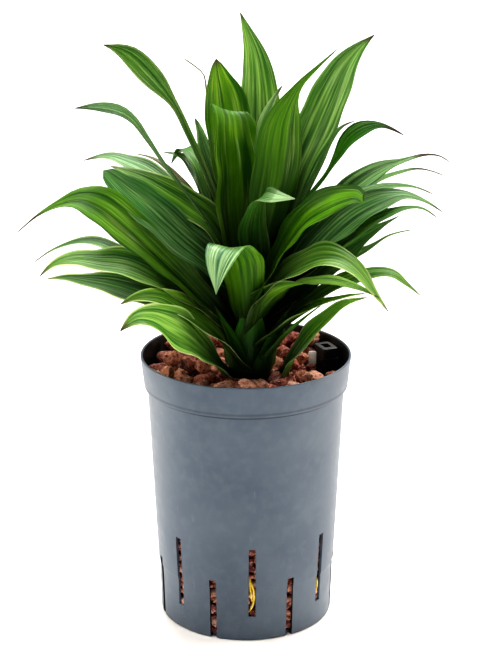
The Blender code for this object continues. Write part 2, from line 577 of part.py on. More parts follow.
def place_pebbles(places, collection):
    """Angular pebbles over the top of the fill, clear of the wall, the leaves and the holder."""
    draw = random.Random(11)
    tree = kdtree.KDTree(len(places))
    for index, place in enumerate(places):
        tree.insert(place, index)
    tree.balance()
    holder = Matrix.Rotation(HOLDER_TURN, 3, "Z") @ Vector((HOLDER_RADIUS, 0, 0))
    for index in range(PEBBLE_COUNT):
        radius = PEBBLE_SMALL + (PEBBLE_LARGE - PEBBLE_SMALL) * draw.random() ** 1.5
        distance = (inner_radius(FILL_LEVEL) - radius - 2 * GAP) * math.sqrt((index + 0.5) / PEBBLE_COUNT)
        turn = index * GOLDEN_ANGLE + draw.uniform(-0.15, 0.15)
        height = FILL_LEVEL + draw.uniform(-0.15, 0.35) * radius
        height = min(height, PEBBLE_TOP_LIMIT - radius)
        centre = Vector((distance * math.cos(turn), distance * math.sin(turn), height))
        if (centre.xy - Vector((CANE_X, CANE_Y))).length < CLASP_HOLE_RADIUS + radius * 0.4:
            continue
        if (centre.xy - holder.xy).length < HOLDER_WIDTH * 0.62 + radius:
            continue
        if (centre.xy - TAB_CENTRE.xy).length < TAB_SIZE.x * 0.6 + radius:
            continue
        nearest = tree.find(centre)[2]
        if nearest < radius + PEBBLE_CLEARANCE:
            continue
        bm = bmesh.new()
        bmesh.ops.create_icosphere(bm, subdivisions=1, radius=radius)
        bmesh.ops.scale(bm, vec=(1, draw.uniform(0.7, 1), draw.uniform(0.62, 0.85)), verts=bm.verts)
        for turn, axis in ((draw.uniform(-0.4, 0.4), "X"), (draw.uniform(0, math.tau), "Z")):
            bmesh.ops.rotate(bm, cent=(0, 0, 0), matrix=Matrix.Rotation(turn, 3, axis), verts=bm.verts)
        bmesh.ops.translate(bm, vec=centre, verts=bm.verts)
        add_object(f"pebble_{index}", bm, collection)


def make_granules(parts, cutters, places):
    """The fill with a rough side, its pebbles, and plain holes for what stands in it."""
    material = make_material("red_brown_clay", (0.19, 0.08, 0.05), 0.9)
    granules = turned("clay_granules", fill_profile(), FILL_SIDES, parts, material)
    for vert in granules.data.vertices:
        radius = vert.co.xy.length
        inside = FLOOR + 2 * GAP < vert.co.z < BAND_FOOT_HEIGHT - 2 * GAP
        if radius > 0 and inside:
            dent = FILL_ROUGHNESS * (0.5 + 0.5 * noise.noise(vert.co * 90))
            vert.co.xy *= (radius - dent) / radius

    pebbles = new_collection("pebbles")
    place_pebbles(places, pebbles)
    combine(granules, "UNION", pebbles)
    drop_collection(pebbles)

    top = HOLES_TOP
    holes = []
    for radius, foot in ((CANE_RADIUS + 2 * GAP, CANE_FOOT - GAP), (CLASP_HOLE_RADIUS, CLASP_HOLE_FOOT)):
        bm = bmesh.new()
        bmesh.ops.create_cone(bm, cap_ends=True, segments=2 * CANE_SIDES, radius1=radius, radius2=radius,
                              depth=top - foot)
        bmesh.ops.translate(bm, vec=(CANE_X, CANE_Y, (top + foot) / 2), verts=bm.verts)
        holes.append(add_object("cane_hole", bm, cutters))
    head = (HOLDER_HOLE_DEPTH, HOLDER_WIDTH + 2 * (HOLDER_LIP + GAP), top - HOLDER_FOOT + GAP)
    head_centre = (HOLDER_RADIUS - HOLDER_DEPTH / 2 - HOLDER_LIP - GAP + head[0] / 2, 0, top - head[2] / 2)
    holes.append(add_object("head_hole", box_bmesh(head, head_centre, HOLDER_TURN), cutters))
    shank = (SHANK_DEPTH + 2 * GAP, SHANK_WIDTH + 2 * GAP, top - SHANK_FOOT + GAP)
    shank_centre = (SHANK_RADIUS, 0, top - shank[2] / 2)
    holes.append(add_object("shank_hole", box_bmesh(shank, shank_centre, HOLDER_TURN), cutters))
    tab = TAB_SIZE + Vector((2 * GAP, 2 * GAP, top - TAB_TOP + GAP))
    tab_centre = TAB_CENTRE + Vector((0, 0, top - tab.z / 2))
    holes.append(add_object("tab_hole", box_bmesh(tab, tab_centre), cutters))
    for hole in holes:
        combine(granules, "DIFFERENCE", hole)
        bpy.data.objects.remove(hole, do_unlink=True)
    keep_outer_shell(granules)
    return granules


def main():
    clear_scene()
    parts = new_collection("potted_dracaena")
    cutters = new_collection("cutters")
    make_pot(parts, cutters)
    make_holder(parts, cutters)
    make_tab(parts)
    places = make_cane(parts)[1]
    make_granules(parts, cutters, places)


main()
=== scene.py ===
"""Potted dracaena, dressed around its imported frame.

Metres, +Z up. The origin is the middle of the pot's underside. +X is right and +Y is away from the
front, the side on which the lowest leaves hang over the rim.
"""

import math
import random

import bmesh
import bpy
import numpy as np
from mathutils import Matrix, Vector, noise


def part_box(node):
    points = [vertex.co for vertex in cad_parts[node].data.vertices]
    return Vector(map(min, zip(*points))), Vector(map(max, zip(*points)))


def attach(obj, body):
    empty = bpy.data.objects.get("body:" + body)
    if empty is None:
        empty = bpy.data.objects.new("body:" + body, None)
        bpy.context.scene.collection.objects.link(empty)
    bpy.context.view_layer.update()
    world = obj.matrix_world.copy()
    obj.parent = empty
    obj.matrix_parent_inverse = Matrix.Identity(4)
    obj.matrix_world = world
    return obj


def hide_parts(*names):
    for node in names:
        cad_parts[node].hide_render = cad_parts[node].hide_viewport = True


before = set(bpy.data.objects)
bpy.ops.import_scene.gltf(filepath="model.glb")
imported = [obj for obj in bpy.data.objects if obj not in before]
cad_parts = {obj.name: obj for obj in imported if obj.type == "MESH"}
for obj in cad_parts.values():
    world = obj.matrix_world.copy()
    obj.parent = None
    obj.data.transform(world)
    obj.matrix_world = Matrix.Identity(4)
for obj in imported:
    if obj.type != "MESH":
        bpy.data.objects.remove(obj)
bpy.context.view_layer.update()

MM = 0.001

# The viewer stands where the photograph was taken from, and looks down at a point on the pot's axis.
VIEW_HEIGHT = 214 * MM
VIEW_DISTANCE = 1500 * MM
VIEW_TILT = math.radians(18.5)
CAMERA_ASIDE = 1.5 * MM
CAMERA_SENSOR = 36.0
FOCAL_PIXELS = 2117
IMAGE_HEIGHT = 657

# Pot: the same values as the solid, turned finer.
POT_HEIGHT = 196 * MM
RIM_RADIUS = 75 * MM
BAND_FOOT_RADIUS = 72.6 * MM
BAND_FOOT_HEIGHT = 173 * MM
NECK_RADIUS = 70.2 * MM
FOOT_RADIUS = 62.0 * MM
FOOT_STEP_HEIGHT = 39 * MM
FOOT_STEP = 0.6 * MM
WALL = 1.4 * MM
FLOOR = 2.5 * MM
LIP = 0.9 * MM
POT_SIDES = 168

SLOTS_A_ROW = 7
SLOT_WIDTH = 5 * MM
UPPER_SLOT_TURN = math.radians(4)
UPPER_SLOT_FOOT = 19 * MM
UPPER_SLOT_TOP = 72 * MM
LOWER_SLOT_FOOT = -1 * MM
LOWER_SLOT_TOP = 46 * MM

# Clay granules: loose lumps on a plain core that is seen only as the dark between them.
CORE_LEVEL = 168 * MM
CORE_INSET = 9 * MM
LUMP_SMALL = 5.4 * MM
LUMP_LARGE = 9.6 * MM
LUMP_TOP_LIMIT = 196.5 * MM
LUMP_COUNT = 230
GAP_CENTRE = Vector((56 * MM, 2 * MM, 0))
GAP_RADIUS = 13 * MM
GAP_LEVEL = 171 * MM
# The last front lump lies low in front of the gauge holder and takes the darkest tone, as painted shade.
FRONT_LUMPS = ((-15.5, -64, 191.2, 6.8, 0.88), (0.5, -64, 193.2, 6.6, 0.85), (17, -62, 189.6, 5.4, 0.3),
               (-31, -58, 190.8, 6.6, 0.6), (47, 15, 178, 5.0, 0.0))
LUMP_PACKING = 0.9
SLOT_TONES = (0.1, 0.4, 0.8, 1.0)

# Cane and the leaf bases that clasp it.
CANE_X = 4 * MM
CANE_Y = -25 * MM
CANE_RADIUS = 9 * MM
CANE_FOOT = 120 * MM
CANE_TOP = 292 * MM
SHEATH_LENGTH = 26 * MM
SHEATH_WRAP = math.radians(125)
SHEATH_RADIUS_LOW = 15 * MM
SHEATH_RADIUS_HIGH = 8 * MM

# Gauge holder and white tab.
HOLDER_TURN = math.radians(24)
HOLDER_RADIUS = 63.5 * MM
HOLDER_WIDTH = 17 * MM
HOLDER_DEPTH = 12 * MM
HOLDER_TOP = 192.5 * MM
HOLDER_FOOT = 176 * MM
SHANK_RADIUS = 60.7 * MM
SHANK_WIDTH = 12 * MM
SHANK_DEPTH = 6.4 * MM
SHANK_FOOT = 130 * MM
HOLDER_SLOT = (8 * MM, 5.5 * MM, 3.5 * MM)
HOLDER_LIP = 0.9 * MM
TAB_CENTRE = Vector((48 * MM, 21.5 * MM, 0))
TAB_SIZE = Vector((5.6 * MM, 1.4 * MM, 12 * MM))
TAB_TOP = 189.5 * MM

# Leaves: the same blades as in the solid, with finer sections, thin margins and waves.
LEAF_THICKNESS = 0.8 * MM
MARGIN_THICKNESS = 0.25 * MM
SHEATH_THICKNESS = 1.3 * MM
LEAF_SECTIONS = 44
LEAF_ACROSS = 14
TIP_WIDTH = 0.5 * MM
TIP_ROUND_START = 0.95
VEIN_HALF_WIDTH = 14 * MM
CHANNEL = (40, 18, 8)
WAVE_HEIGHT = 1.1 * MM
WAVE_LENGTH = 34 * MM

# Leaves of the front and the sides, drawn as a viewer in front of the pot sees them. A row holds the leaf's name, the
# height at which it leaves the cane, the places that its midrib passes up to its tip, its width at seven even steps
# along it, and its turn about the midrib at four even steps, in degrees. A place is how far it is seen to the right of
# the pot's axis and above VIEW_HEIGHT, and how far it lies behind that axis. Lengths are in mm.
FRONT_LEAVES = (
    ("high_left", 240, ((-17, 80, -18), (-29, 112, -8), (-41, 139, 2), (-51, 159, 8), (-68, 180, 12),
                        (-84, 195, 12), (-101, 201, 10)),
     (12, 7, 6, 5, 5, 5, 5, 6, 15, 14, 1.6), (0, -30, -60, -80)),
    ("thin_left", 230, ((-22, 66, -32), (-57, 115, -36), (-70, 134, -38), (-79, 147, -40), (-89, 154, -42),
                        (-105, 157, -42), (-121, 156, -42)),
     (12, 6, 5, 4, 4, 4, 4, 6, 8, 1.5), (0, -10, -40, -60)),
    ("grey_left", 224, ((-47, 88, -6), (-68, 110, 4), (-84, 118, 8), (-98, 122, 12), (-115, 119, 14)),
     (12, 17, 24, 26, 23, 14, 1.8), (0, -5, -15, -20)),
    ("broad_left", 220, ((-22, 41, -34), (-47, 63, -40), (-68, 83, -42), (-86, 98, -42), (-101, 112, -40)),
     (13, 20, 28, 32, 32, 29, 14), (0, -35, -45, -40)),
    ("upper_left", 218, ((-22, 71, -20), (-43, 89, -22), (-62, 101, -24), (-78, 109, -24), (-96, 115, -22)),
     (12, 18, 22, 24, 23, 15, 2), (0, -30, -42, -30)),
    ("long_left", 206, ((-26, 15, -42), (-52, 42, -48), (-86, 73, -58), (-105, 87, -62), (-119, 91, -62),
                        (-132, 88, -62), (-146, 81, -62), (-163, 67, -60)),
     (14, 17, 20, 22, 24, 25, 27, 30, 28, 10, 4, 1.4), (0, -45, -55, 10)),
    ("inner_left", 202, ((-43, 30, -40), (-65, 50, -38), (-82, 62, -34)),
     (12, 18, 24, 25, 20, 12, 1.8), (0, -20, -20, 0)),
    ("slim_left", 208, ((-26, 13, -22), (-61, 38, -20), (-89, 54, -14), (-105, 61, -10), (-121, 61, -12),
                        (-138, 55, -14), (-151, 46, -16)),
     (12, 13, 14, 15, 15, 14, 13, 10, 5, 1.4), (0, -10, -20, 0)),
    ("low_left", 198, ((-29, 9, -42), (-54, 29, -48), (-82, 44, -56), (-104, 47, -60), (-121, 49, -62),
                       (-135, 46, -64), (-146, 37, -66)), (13, 20, 28, 32, 29, 17, 1.8), (0, -20, -30, -20)),
    ("dark_left", 194, ((-40, 10, -34), (-68, 22, -36), (-93, 30, -36), (-114, 34, -38), (-128, 36, -38),
                        (-141, 35, -40)), (12, 18, 24, 28, 26, 13, 1.6), (0, -20, -30, -30)),
    ("front_left", 184, ((-5, -28, -44), (-14, -14, -52), (-28, 1, -58), (-45, 13, -64), (-62, 22, -72),
                         (-77, 22, -76), (-89, 17, -80)), (22, 26, 28, 30, 27, 15, 1.8), (0, -25, -35, -25)),
    ("rim_left", 182, ((-11, -36, -50), (-20, -28, -58), (-29, -18, -66), (-40, -8, -76), (-53, 0, -88),
                       (-67, 7, -98), (-78, 7, -105), (-89, -2, -108)),
     (16, 17, 20, 27, 34, 34, 18, 1.8), (0, -35, -55, -30)),
    ("dried_tip", 240, ((-23, 127, 14), (-26, 155, 28), (-28, 168, 34), (-30, 180, 42), (-35, 185, 46),
                        (-45, 192, 44)), (10, 12, 12, 10, 6, 3, 1.6), (0, 10, 20, 60)),
    ("crown_back_left", 236, ((-24, 111, 6), (-30, 129, 12), (-33, 141, 16), (-36, 149, 20)),
     (10, 13, 16, 18, 17, 12, 3), (0, -10, -10, 0)),
    ("crown_left", 242, ((-6, 95, -6), (-11, 127, 4), (-13, 144, 10), (-16, 166, 18), (-19, 180, 24),
                         (-21, 191, 30)), (13, 22, 30, 35, 36, 31, 6), (0, 0, 0, 0)),
    ("crown_folded", 238, ((-3, 56, -28), (-6, 88, -26), (-7, 119, -20), (-9, 137, -16), (-10, 149, -11),
                           (-12, 154, -5), (-13, 152, 2), (-14, 147, 7)),
     (15, 25, 36, 43, 44, 43, 35, 12), (0, 0, 12, 20)),
    ("crown_tall", 246, ((8, 112, 10), (9, 141, 24), (9, 162, 32), (8, 180, 38), (6, 194, 43), (1, 210, 47),
                         (-4, 224, 50)), (13, 20, 28, 32, 31, 19, 1.8), (0, 0, 10, 20)),
    ("crown_short", 248, ((11, 98, -18), (11, 127, -20), (13, 144, -21), (18, 158, -22), (22, 166, -23),
                          (26, 172, -24)), (12, 16, 20, 22, 20, 12, 2), (0, 5, 15, 30)),
    ("crown_right", 240, ((17, 80, -34), (22, 105, -32), (25, 127, -30), (27, 144, -28), (32, 160, -25),
                          (39, 173, -22), (51, 185, -20), (65, 198, -20)),
     (14, 19, 24, 29, 33, 35, 34, 26, 9, 5, 1.8), (-50, -75, -75, -30)),
    ("high_right", 242, ((33, 91, -14), (38, 112, -10), (49, 137, -4), (60, 163, 2), (70, 185, 7),
                         (79, 197, 10), (91, 208, 12)), (12, 16, 23, 29, 33, 24, 2), (0, 15, 30, 30)),
    ("crown_back_right", 238, ((35, 88, 6), (49, 112, 18), (58, 130, 28), (67, 142, 34), (77, 147, 40)),
     (10, 14, 18, 19, 14, 7, 1.6), (0, 0, 0, 0)),
    ("hooked_right", 236, ((31, 76, -25), (56, 107, -28), (65, 122, -30), (72, 133, -31), (82, 141, -32),
                           (95, 144, -33), (112, 137, -34)),
     (12, 7, 6, 5, 5, 5, 5, 5, 11, 14, 4, 1.4), (0, 10, 35, 50)),
    ("long_right", 232, ((38, 63, 0), (63, 88, 8), (81, 104, 12), (96, 113, 16), (112, 119, 18),
                         (127, 123, 20), (138, 122, 20), (145, 117, 20)),
     (11, 11, 12, 13, 14, 17, 19, 16, 6, 3, 1.4), (0, 15, 30, 10)),
    ("thin_right", 228, ((47, 64, 14), (75, 93, 28), (94, 105, 34), (108, 110, 36), (120, 113, 38),
                         (130, 112, 38), (141, 108, 38)), (10, 10, 10, 9, 8, 6, 1.6), (0, 5, 5, 0)),
    ("fan_right_1", 226, ((49, 61, -14), (74, 87, -4), (91, 98, 0), (106, 101, 3), (120, 100, 4),
                          (133, 95, 2)), (12, 18, 24, 26, 18, 7, 1.8), (0, 15, 18, 10)),
    ("fan_right_2", 222, ((51, 56, -32), (77, 80, -32), (99, 91, -32), (113, 94, -32), (127, 90, -34),
                          (140, 82, -36)), (12, 20, 28, 34, 35, 26, 9, 1.8), (0, 20, 30, 5)),
    ("fan_right_3", 218, ((52, 49, -36), (81, 71, -40), (99, 80, -42), (113, 85, -44), (125, 85, -46),
                          (136, 78, -48)), (12, 20, 28, 32, 31, 20, 7, 1.8), (0, 20, 26, 0)),
    ("fan_right_4", 214, ((51, 40, -30), (74, 57, -26), (91, 69, -24), (109, 80, -24)),
     (14, 24, 31, 33, 28, 15, 1.8), (0, 25, 30, 0)),
    ("slim_right", 208, ((49, 32, -26), (74, 49, -22), (89, 58, -19), (102, 66, -18), (118, 70, -18)),
     (12, 18, 24, 23, 15, 5, 1.8), (0, 10, 10, 0)),
    ("broad_right", 212, ((16, 27, -52), (23, 47, -56), (32, 64, -62), (43, 78, -70), (57, 87, -78),
                          (70, 92, -85), (79, 93, -91), (83, 89, -95)),
     (14, 21, 27, 30, 31, 30, 26, 12), (0, 40, 52, 40)),
    ("folded_high", 226, ((7, 47, -42), (6, 71, -50), (9, 88, -58), (13, 94, -66), (22, 93, -75),
                          (35, 92, -86)), (12, 16, 20, 22, 20, 13, 1.6), (-40, -40, 20, 50)),
    ("folded_front", 190, ((-1, 13, -50), (-3, 34, -62), (-6, 50, -76), (-12, 57, -90), (-18, 49, -100),
                           (-21, 24, -106)), (10, 14, 23, 31, 33, 24, 1.6), (0, 0, 0, 0)),
    ("arched_right", 194, ((9, 7, -46), (13, 19, -50), (23, 32, -56), (38, 43, -64), (55, 50, -72),
                           (69, 48, -80), (80, 40, -86), (89, 28, -92), (101, 12, -98)),
     (14, 18, 22, 26, 30, 30, 17, 9, 1.8), (0, 25, 30, 0)),
    ("hanging_right", 200, ((45, 18, -42), (70, 32, -50), (89, 38, -58), (104, 38, -62), (113, 32, -64),
                            (124, 23, -66)), (10, 14, 18, 21, 19, 12, 1.8), (0, 15, 20, 0)),
    ("low_right", 194, ((7, 2, -44), (14, 17, -52), (26, 27, -60), (42, 32, -68), (63, 32, -78),
                        (81, 28, -90), (94, 22, -96)), (14, 21, 27, 29, 24, 14, 1.8), (0, -25, 0, 0)),
    ("low_right_inner", 192, ((18, -8, -44), (33, 5, -50), (51, 16, -58), (70, 22, -66), (85, 25, -74)),
     (12, 18, 24, 25, 19, 11, 1.8), (0, 10, 10, 0)),
    ("rim_right", 184, ((27, -35, -46), (35, -21, -52), (45, -7, -60), (56, 5, -66), (66, 14, -72),
                        (75, 19, -78), (86, 22, -82)), (13, 18, 22, 24, 22, 13, 1.8), (0, 30, 40, 20)),
    ("base_left", 178, ((-7, -34, -44), (-10, -18, -46), (-15, -2, -48), (-22, 16, -48)),
     (24, 27, 28, 26, 20, 11, 1.6), (0, 0, 0, 0)),
    ("base_middle", 178, ((3, -34, -45), (3, -16, -46), (4, 4, -47), (6, 26, -48)),
     (26, 29, 30, 28, 22, 12, 1.6), (0, 0, 0, 0)),
    ("base_right", 178, ((14, -34, -43), (18, -18, -45), (24, -2, -47), (32, 15, -48)),
     (24, 27, 28, 25, 19, 10, 1.6), (0, 0, 0, 0)),
    ("rim_right_inner", 190, ((17, -20, -44), (26, -8, -50), (36, 2, -56), (45, 10, -58), (54, 17, -60)),
     (10, 16, 20, 21, 16, 9, 1.8), (0, 15, 10, 0)),
    ("far_left_upper", 226, ((-22, 94, 14), (-33, 111, 30), (-43, 121, 40), (-59, 125, 46)),
     (10, 16, 22, 25, 22, 13, 2), (0, -15, -15, 0)),
    ("far_left_lower", 222, ((-36, 87, 22), (-52, 110, 36), (-65, 120, 42), (-79, 124, 46)),
     (6, 9, 12, 13, 11, 6, 1.4), (0, -8, -8, 0)),
)

# Leaves of the far side, from the lowest to the highest. They spread over an arc by the golden ratio.
BACK_LEAF_COUNT = 15
BACK_ROOT = (200, 240)
BACK_REACH = (150, 84)
BACK_RISE = (50, 118)
BACK_WIDTH = (34, 28)
BACK_WIDTH_SHARES = (0.36, 0.56, 0.84, 1.0, 0.9, 0.5, 0.05)
BACK_ARC_START = (56, 62)
BACK_ARC_END = (158, 138)
BACK_MIDRIB = ((0.30, 0.62), (0.58, 0.95), (0.82, 1.0), (1.0, 0.86))
GOLDEN_SHARE = 0.618034

# How a leaf looks: how young it is, which also paints the whole leaf as lit or shaded (1 is young and bright, 0 is old
# and dark, and -1 has dead parts that are bleached), how pale its margin is, partly as a painted rim highlight, how
# waxy it is, which sets its gloss and a painted blue-grey sheen, how far the dead brown part reaches down from its tip
# and how far the painted reflection on its folded-over tip reaches, both in mm.
LEAF_LOOKS = {
    "high_left": (0.35, 0.5, 0.35, 3, 0), "thin_left": (0.0, 0.2, 0.9, 5, 0), "grey_left": (0.05, 0.4, 0.8, 8, 0),
    "broad_left": (0.0, 0.2, 0.45, -8, 0), "upper_left": (0.35, 0.8, 0.25, 3, 0), "long_left": (0.34, 0.2, 0.1, 22, 0),
    "inner_left": (0.0, 0.2, 0.3, 3, 0), "slim_left": (0.1, 0.5, 0.3, 12, 0), "low_left": (0.55, 1.0, 0.6, 6, 0),
    "dark_left": (0.1, 1.0, 0.2, 3, 0), "front_left": (0.5, 1.0, 0.2, 3, 0), "rim_left": (1.0, 1.0, 0.8, 5, 0),
    "dried_tip": (-1.0, 0.0, 0.0, 70, 0), "crown_back_left": (0.1, 0.4, 0.9, 3, 0),
    "crown_left": (0.6, 0.0, 0.0, 4, 0), "crown_folded": (0.36, 0.0, 0.0, -8, 16), "crown_tall": (0.55, 0.3, 0.6, 3, 0),
    "crown_short": (0.15, 0.5, 0.8, 5, 0), "crown_right": (0.34, 0.0, 0.0, 6, 0), "high_right": (0.3, 0.3, 0.5, 6, 0),
    "crown_back_right": (0.2, 0.2, 0.4, 10, 0), "hooked_right": (0.1, 0.0, 0.0, 12, 0),
    "long_right": (0.1, 0.3, 0.95, 26, 0), "thin_right": (0.2, 0.3, 0.5, 24, 0), "fan_right_1": (0.1, 0.2, 0.7, 8, 0),
    "fan_right_2": (0.15, 0.3, 0.6, 8, 0), "fan_right_3": (0.1, 0.2, 0.4, 6, 0), "fan_right_4": (0.1, 0.3, 0.3, 3, 0),
    "slim_right": (0.15, 0.5, 0.3, 3, 0), "broad_right": (0.38, 0.1, 0.0, -8, 0),
    "folded_high": (0.0, 0.4, 0.3, -3, 27), "folded_front": (0.5, 0.2, 0.0, -3, 44),
    "arched_right": (1.0, 0.7, 0.8, 4, 0), "hanging_right": (0.3, 0.5, 0.4, 3, 0), "low_right": (0.95, 0.5, 0.4, 3, 0),
    "low_right_inner": (0.5, 0.7, 0.4, 3, 0), "rim_right": (1.0, 1.0, 0.8, 3, 0), "base_left": (0.0, 0.0, 0.0, 3, 0),
    "base_middle": (0.0, 0.0, 0.0, 3, 0), "base_right": (0.0, 0.0, 0.0, 3, 0),
    "far_left_upper": (0.1, 0.2, 0.8, 3, 0), "far_left_lower": (-1.0, 0.0, 0.0, 90, 0)}
USUAL_LOOK = (0.28, 0.2, 0.35, 3, 0)


def linear(colour):
    """An sRGB hex value as linear red, green, blue and alpha."""
    channels = [int(colour[start:start + 2], 16) / 255 for start in (1, 3, 5)]
    return [value / 12.92 if value < 0.04045 else ((value + 0.055) / 1.055) ** 2.4 for value in channels] + [1.0]


def add_piece(name, mesh, materials, node):
    """Put a mesh in the scene as a piece that rides on the plant's one body and stands for a CAD node."""
    piece = bpy.data.objects.new(name, mesh)
    bpy.context.scene.collection.objects.link(piece)
    for material in materials:
        mesh.materials.append(material)
    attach(piece, "root")
    if node:
        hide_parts(node)
    return piece


def finish_mesh(bm, name, sharp_degrees=35):
    """Turn a bmesh into a mesh with smooth faces and sharp corners."""
    bmesh.ops.recalc_face_normals(bm, faces=bm.faces)
    mesh = bpy.data.meshes.new(name)
    bm.to_mesh(mesh)
    bm.free()
    mesh.shade_smooth()
    mesh.set_sharp_from_angle(angle=math.radians(sharp_degrees))
    return mesh


def box_bmesh(size, centre, turn=0.0):
    bm = bmesh.new()
    bmesh.ops.create_cube(bm, size=1.0)
    bmesh.ops.scale(bm, vec=size, verts=bm.verts)
    bmesh.ops.translate(bm, vec=centre, verts=bm.verts)
    bmesh.ops.rotate(bm, cent=(0, 0, 0), matrix=Matrix.Rotation(turn, 3, "Z"), verts=bm.verts)
    return bm


def turned(profile, sides):
    """Turn a profile of (radius, height) points about the upright axis. Its ends lie on the axis."""
    bm = bmesh.new()
    rings = []
    for radius, height in profile:
        if radius == 0:
            rings.append([bm.verts.new((0, 0, height))])
            continue
        steps = (math.tau * step / sides for step in range(sides))
        rings.append([bm.verts.new((radius * math.cos(turn), radius * math.sin(turn), height)) for turn in steps])
    for low, high in zip(rings, rings[1:]):
        for step in range(sides):
            after = (step + 1) % sides
            corners = [low[step % len(low)], low[after % len(low)], high[after % len(high)], high[step % len(high)]]
            bm.faces.new(list(dict.fromkeys(corners)))
    return bm


def cut(target, cutter_bmesh, operation="DIFFERENCE"):
    """Cut or join one bmesh from another by a boolean, and give the result as a mesh."""
    pair = []
    for bm in (target, cutter_bmesh):
        bmesh.ops.recalc_face_normals(bm, faces=bm.faces)
        mesh = bpy.data.meshes.new("scratch")
        bm.to_mesh(mesh)
        bm.free()
        item = bpy.data.objects.new("scratch", mesh)
        bpy.context.scene.collection.objects.link(item)
        pair.append(item)
    step = pair[0].modifiers.new("cut", "BOOLEAN")
    step.operation = operation
    step.object = pair[1]
    shape = pair[0].evaluated_get(bpy.context.evaluated_depsgraph_get())
    bm = bmesh.new()
    bm.from_mesh(shape.to_mesh())
    for item in pair:
        mesh = item.data
        bpy.data.objects.remove(item, do_unlink=True)
        bpy.data.meshes.remove(mesh)
    return bm


def add_node(tree, kind, values=None, links=None, **settings):
    """Add a shader node with its settings, its input values and its links."""
    node = tree.nodes.new("ShaderNode" + kind)
    for key, value in settings.items():
        setattr(node, key, value)
    for key, value in (values or {}).items():
        node.inputs[key].default_value = value
    for key, socket in (links or {}).items():
        tree.links.new(socket, node.inputs[key])
    return node


def new_material(name, roughness, ior=1.5):
    material = bpy.data.materials.new(name)
    material.use_nodes = True
    shader = material.node_tree.nodes["Principled BSDF"]
    shader.inputs["Roughness"].default_value = roughness
    shader.inputs["IOR"].default_value = ior
    shader.inputs["Metallic"].default_value = 0.0
    return material, material.node_tree, shader


def mix_colour(tree, share, first, second, blend="MIX"):
    """Mix two colours, each a hex value or a socket, by a socket or a number."""
    node = add_node(tree, "Mix", data_type="RGBA", blend_type=blend)
    for index, value in ((0, share), (6, first), (7, second)):
        if isinstance(value, str):
            node.inputs[index].default_value = linear(value)
        elif isinstance(value, (int, float)):
            node.inputs[index].default_value = value
        else:
            tree.links.new(value, node.inputs[index])
    return node.outputs[2]


def stretch(tree, socket, low, high, to_low=0.0, to_high=1.0):
    """Bring values between low and high to another range, and stop there."""
    node = add_node(tree, "MapRange", {"From Min": low, "From Max": high, "To Min": to_low, "To Max": to_high},
                    {"Value": socket})
    return node.outputs["Result"]


def grain(tree, vector, size, detail=2.0, roughness=0.5):
    """Noise whose lumps are about size metres across."""
    node = add_node(tree, "TexNoise", {"Scale": 1 / size, "Detail": detail, "Roughness": roughness},
                    {"Vector": vector} if vector else None)
    return node.outputs["Fac"]


def bump(tree, shader, height, distance, strength=1.0):
    node = add_node(tree, "Bump", {"Strength": strength, "Distance": distance}, {"Height": height})
    tree.links.new(node.outputs["Normal"], shader.inputs["Normal"])


def moulded_polypropylene():
    """Grey-blue culture-pot plastic: satin from the mould, a little chalky, with pale scuffs, and with painted shade in
    the crease under its band and on the fine line above that."""
    material, tree, shader = new_material("moulded_grey_polypropylene", 0.42, 1.49)
    shader.inputs["Specular IOR Level"].default_value = 0.32
    where = add_node(tree, "TexCoord").outputs["Object"]
    cloud = grain(tree, where, 45 * MM, 3)
    mottle = grain(tree, where, 7 * MM, 4)
    tall = add_node(tree, "VectorMath", {1: (1, 1, 0.16)}, {0: where}, operation="MULTIPLY").outputs["Vector"]
    scuff = stretch(tree, grain(tree, tall, 4 * MM, 3), 0.7, 0.78)
    colour = mix_colour(tree, stretch(tree, cloud, 0.35, 0.65), "#515d6b", "#5c6773")
    colour = mix_colour(tree, stretch(tree, mottle, 0.45, 0.7, 0, 0.35), colour, "#69737d")
    colour = mix_colour(tree, stretch(tree, scuff, 0, 1, 0, 0.25), colour, "#8f979d")
    height = add_node(tree, "SeparateXYZ", links={"Vector": where}).outputs["Z"]
    # Painted shade: a dark line in the crease under the band and a fainter one just above it.
    for level, share in ((BAND_FOOT_HEIGHT - 0.4 * MM, 0.85), (BAND_FOOT_HEIGHT + 2.6 * MM, 0.35)):
        away = add_node(tree, "Math", {1: level}, {0: height}, operation="SUBTRACT").outputs["Value"]
        away = add_node(tree, "Math", links={0: away}, operation="ABSOLUTE").outputs["Value"]
        colour = mix_colour(tree, stretch(tree, away, 0.4 * MM, 1.2 * MM, share, 0), colour, "#14181c")
    tree.links.new(colour, shader.inputs["Base Color"])
    tree.links.new(stretch(tree, mottle, 0.3, 0.7, 0.36, 0.5), shader.inputs["Roughness"])
    bump(tree, shader, grain(tree, where, 1.6 * MM, 3), 0.05 * MM)
    return material


def black_polypropylene():
    """The black inner face of the pot and the gauge holder: dark satin plastic with clay dust on it."""
    material, tree, shader = new_material("moulded_black_polypropylene", 0.5, 1.49)
    shader.inputs["Specular IOR Level"].default_value = 0.35
    where = add_node(tree, "TexCoord").outputs["Object"]
    dust = stretch(tree, grain(tree, where, 5 * MM, 5, 0.65), 0.5, 0.72, 0, 0.45)
    tree.links.new(mix_colour(tree, dust, "#1a1b1d", "#544a42"), shader.inputs["Base Color"])
    tree.links.new(stretch(tree, dust, 0, 0.45, 0.4, 0.75), shader.inputs["Roughness"])
    bump(tree, shader, grain(tree, where, 1.2 * MM, 3), 0.04 * MM)
    return material


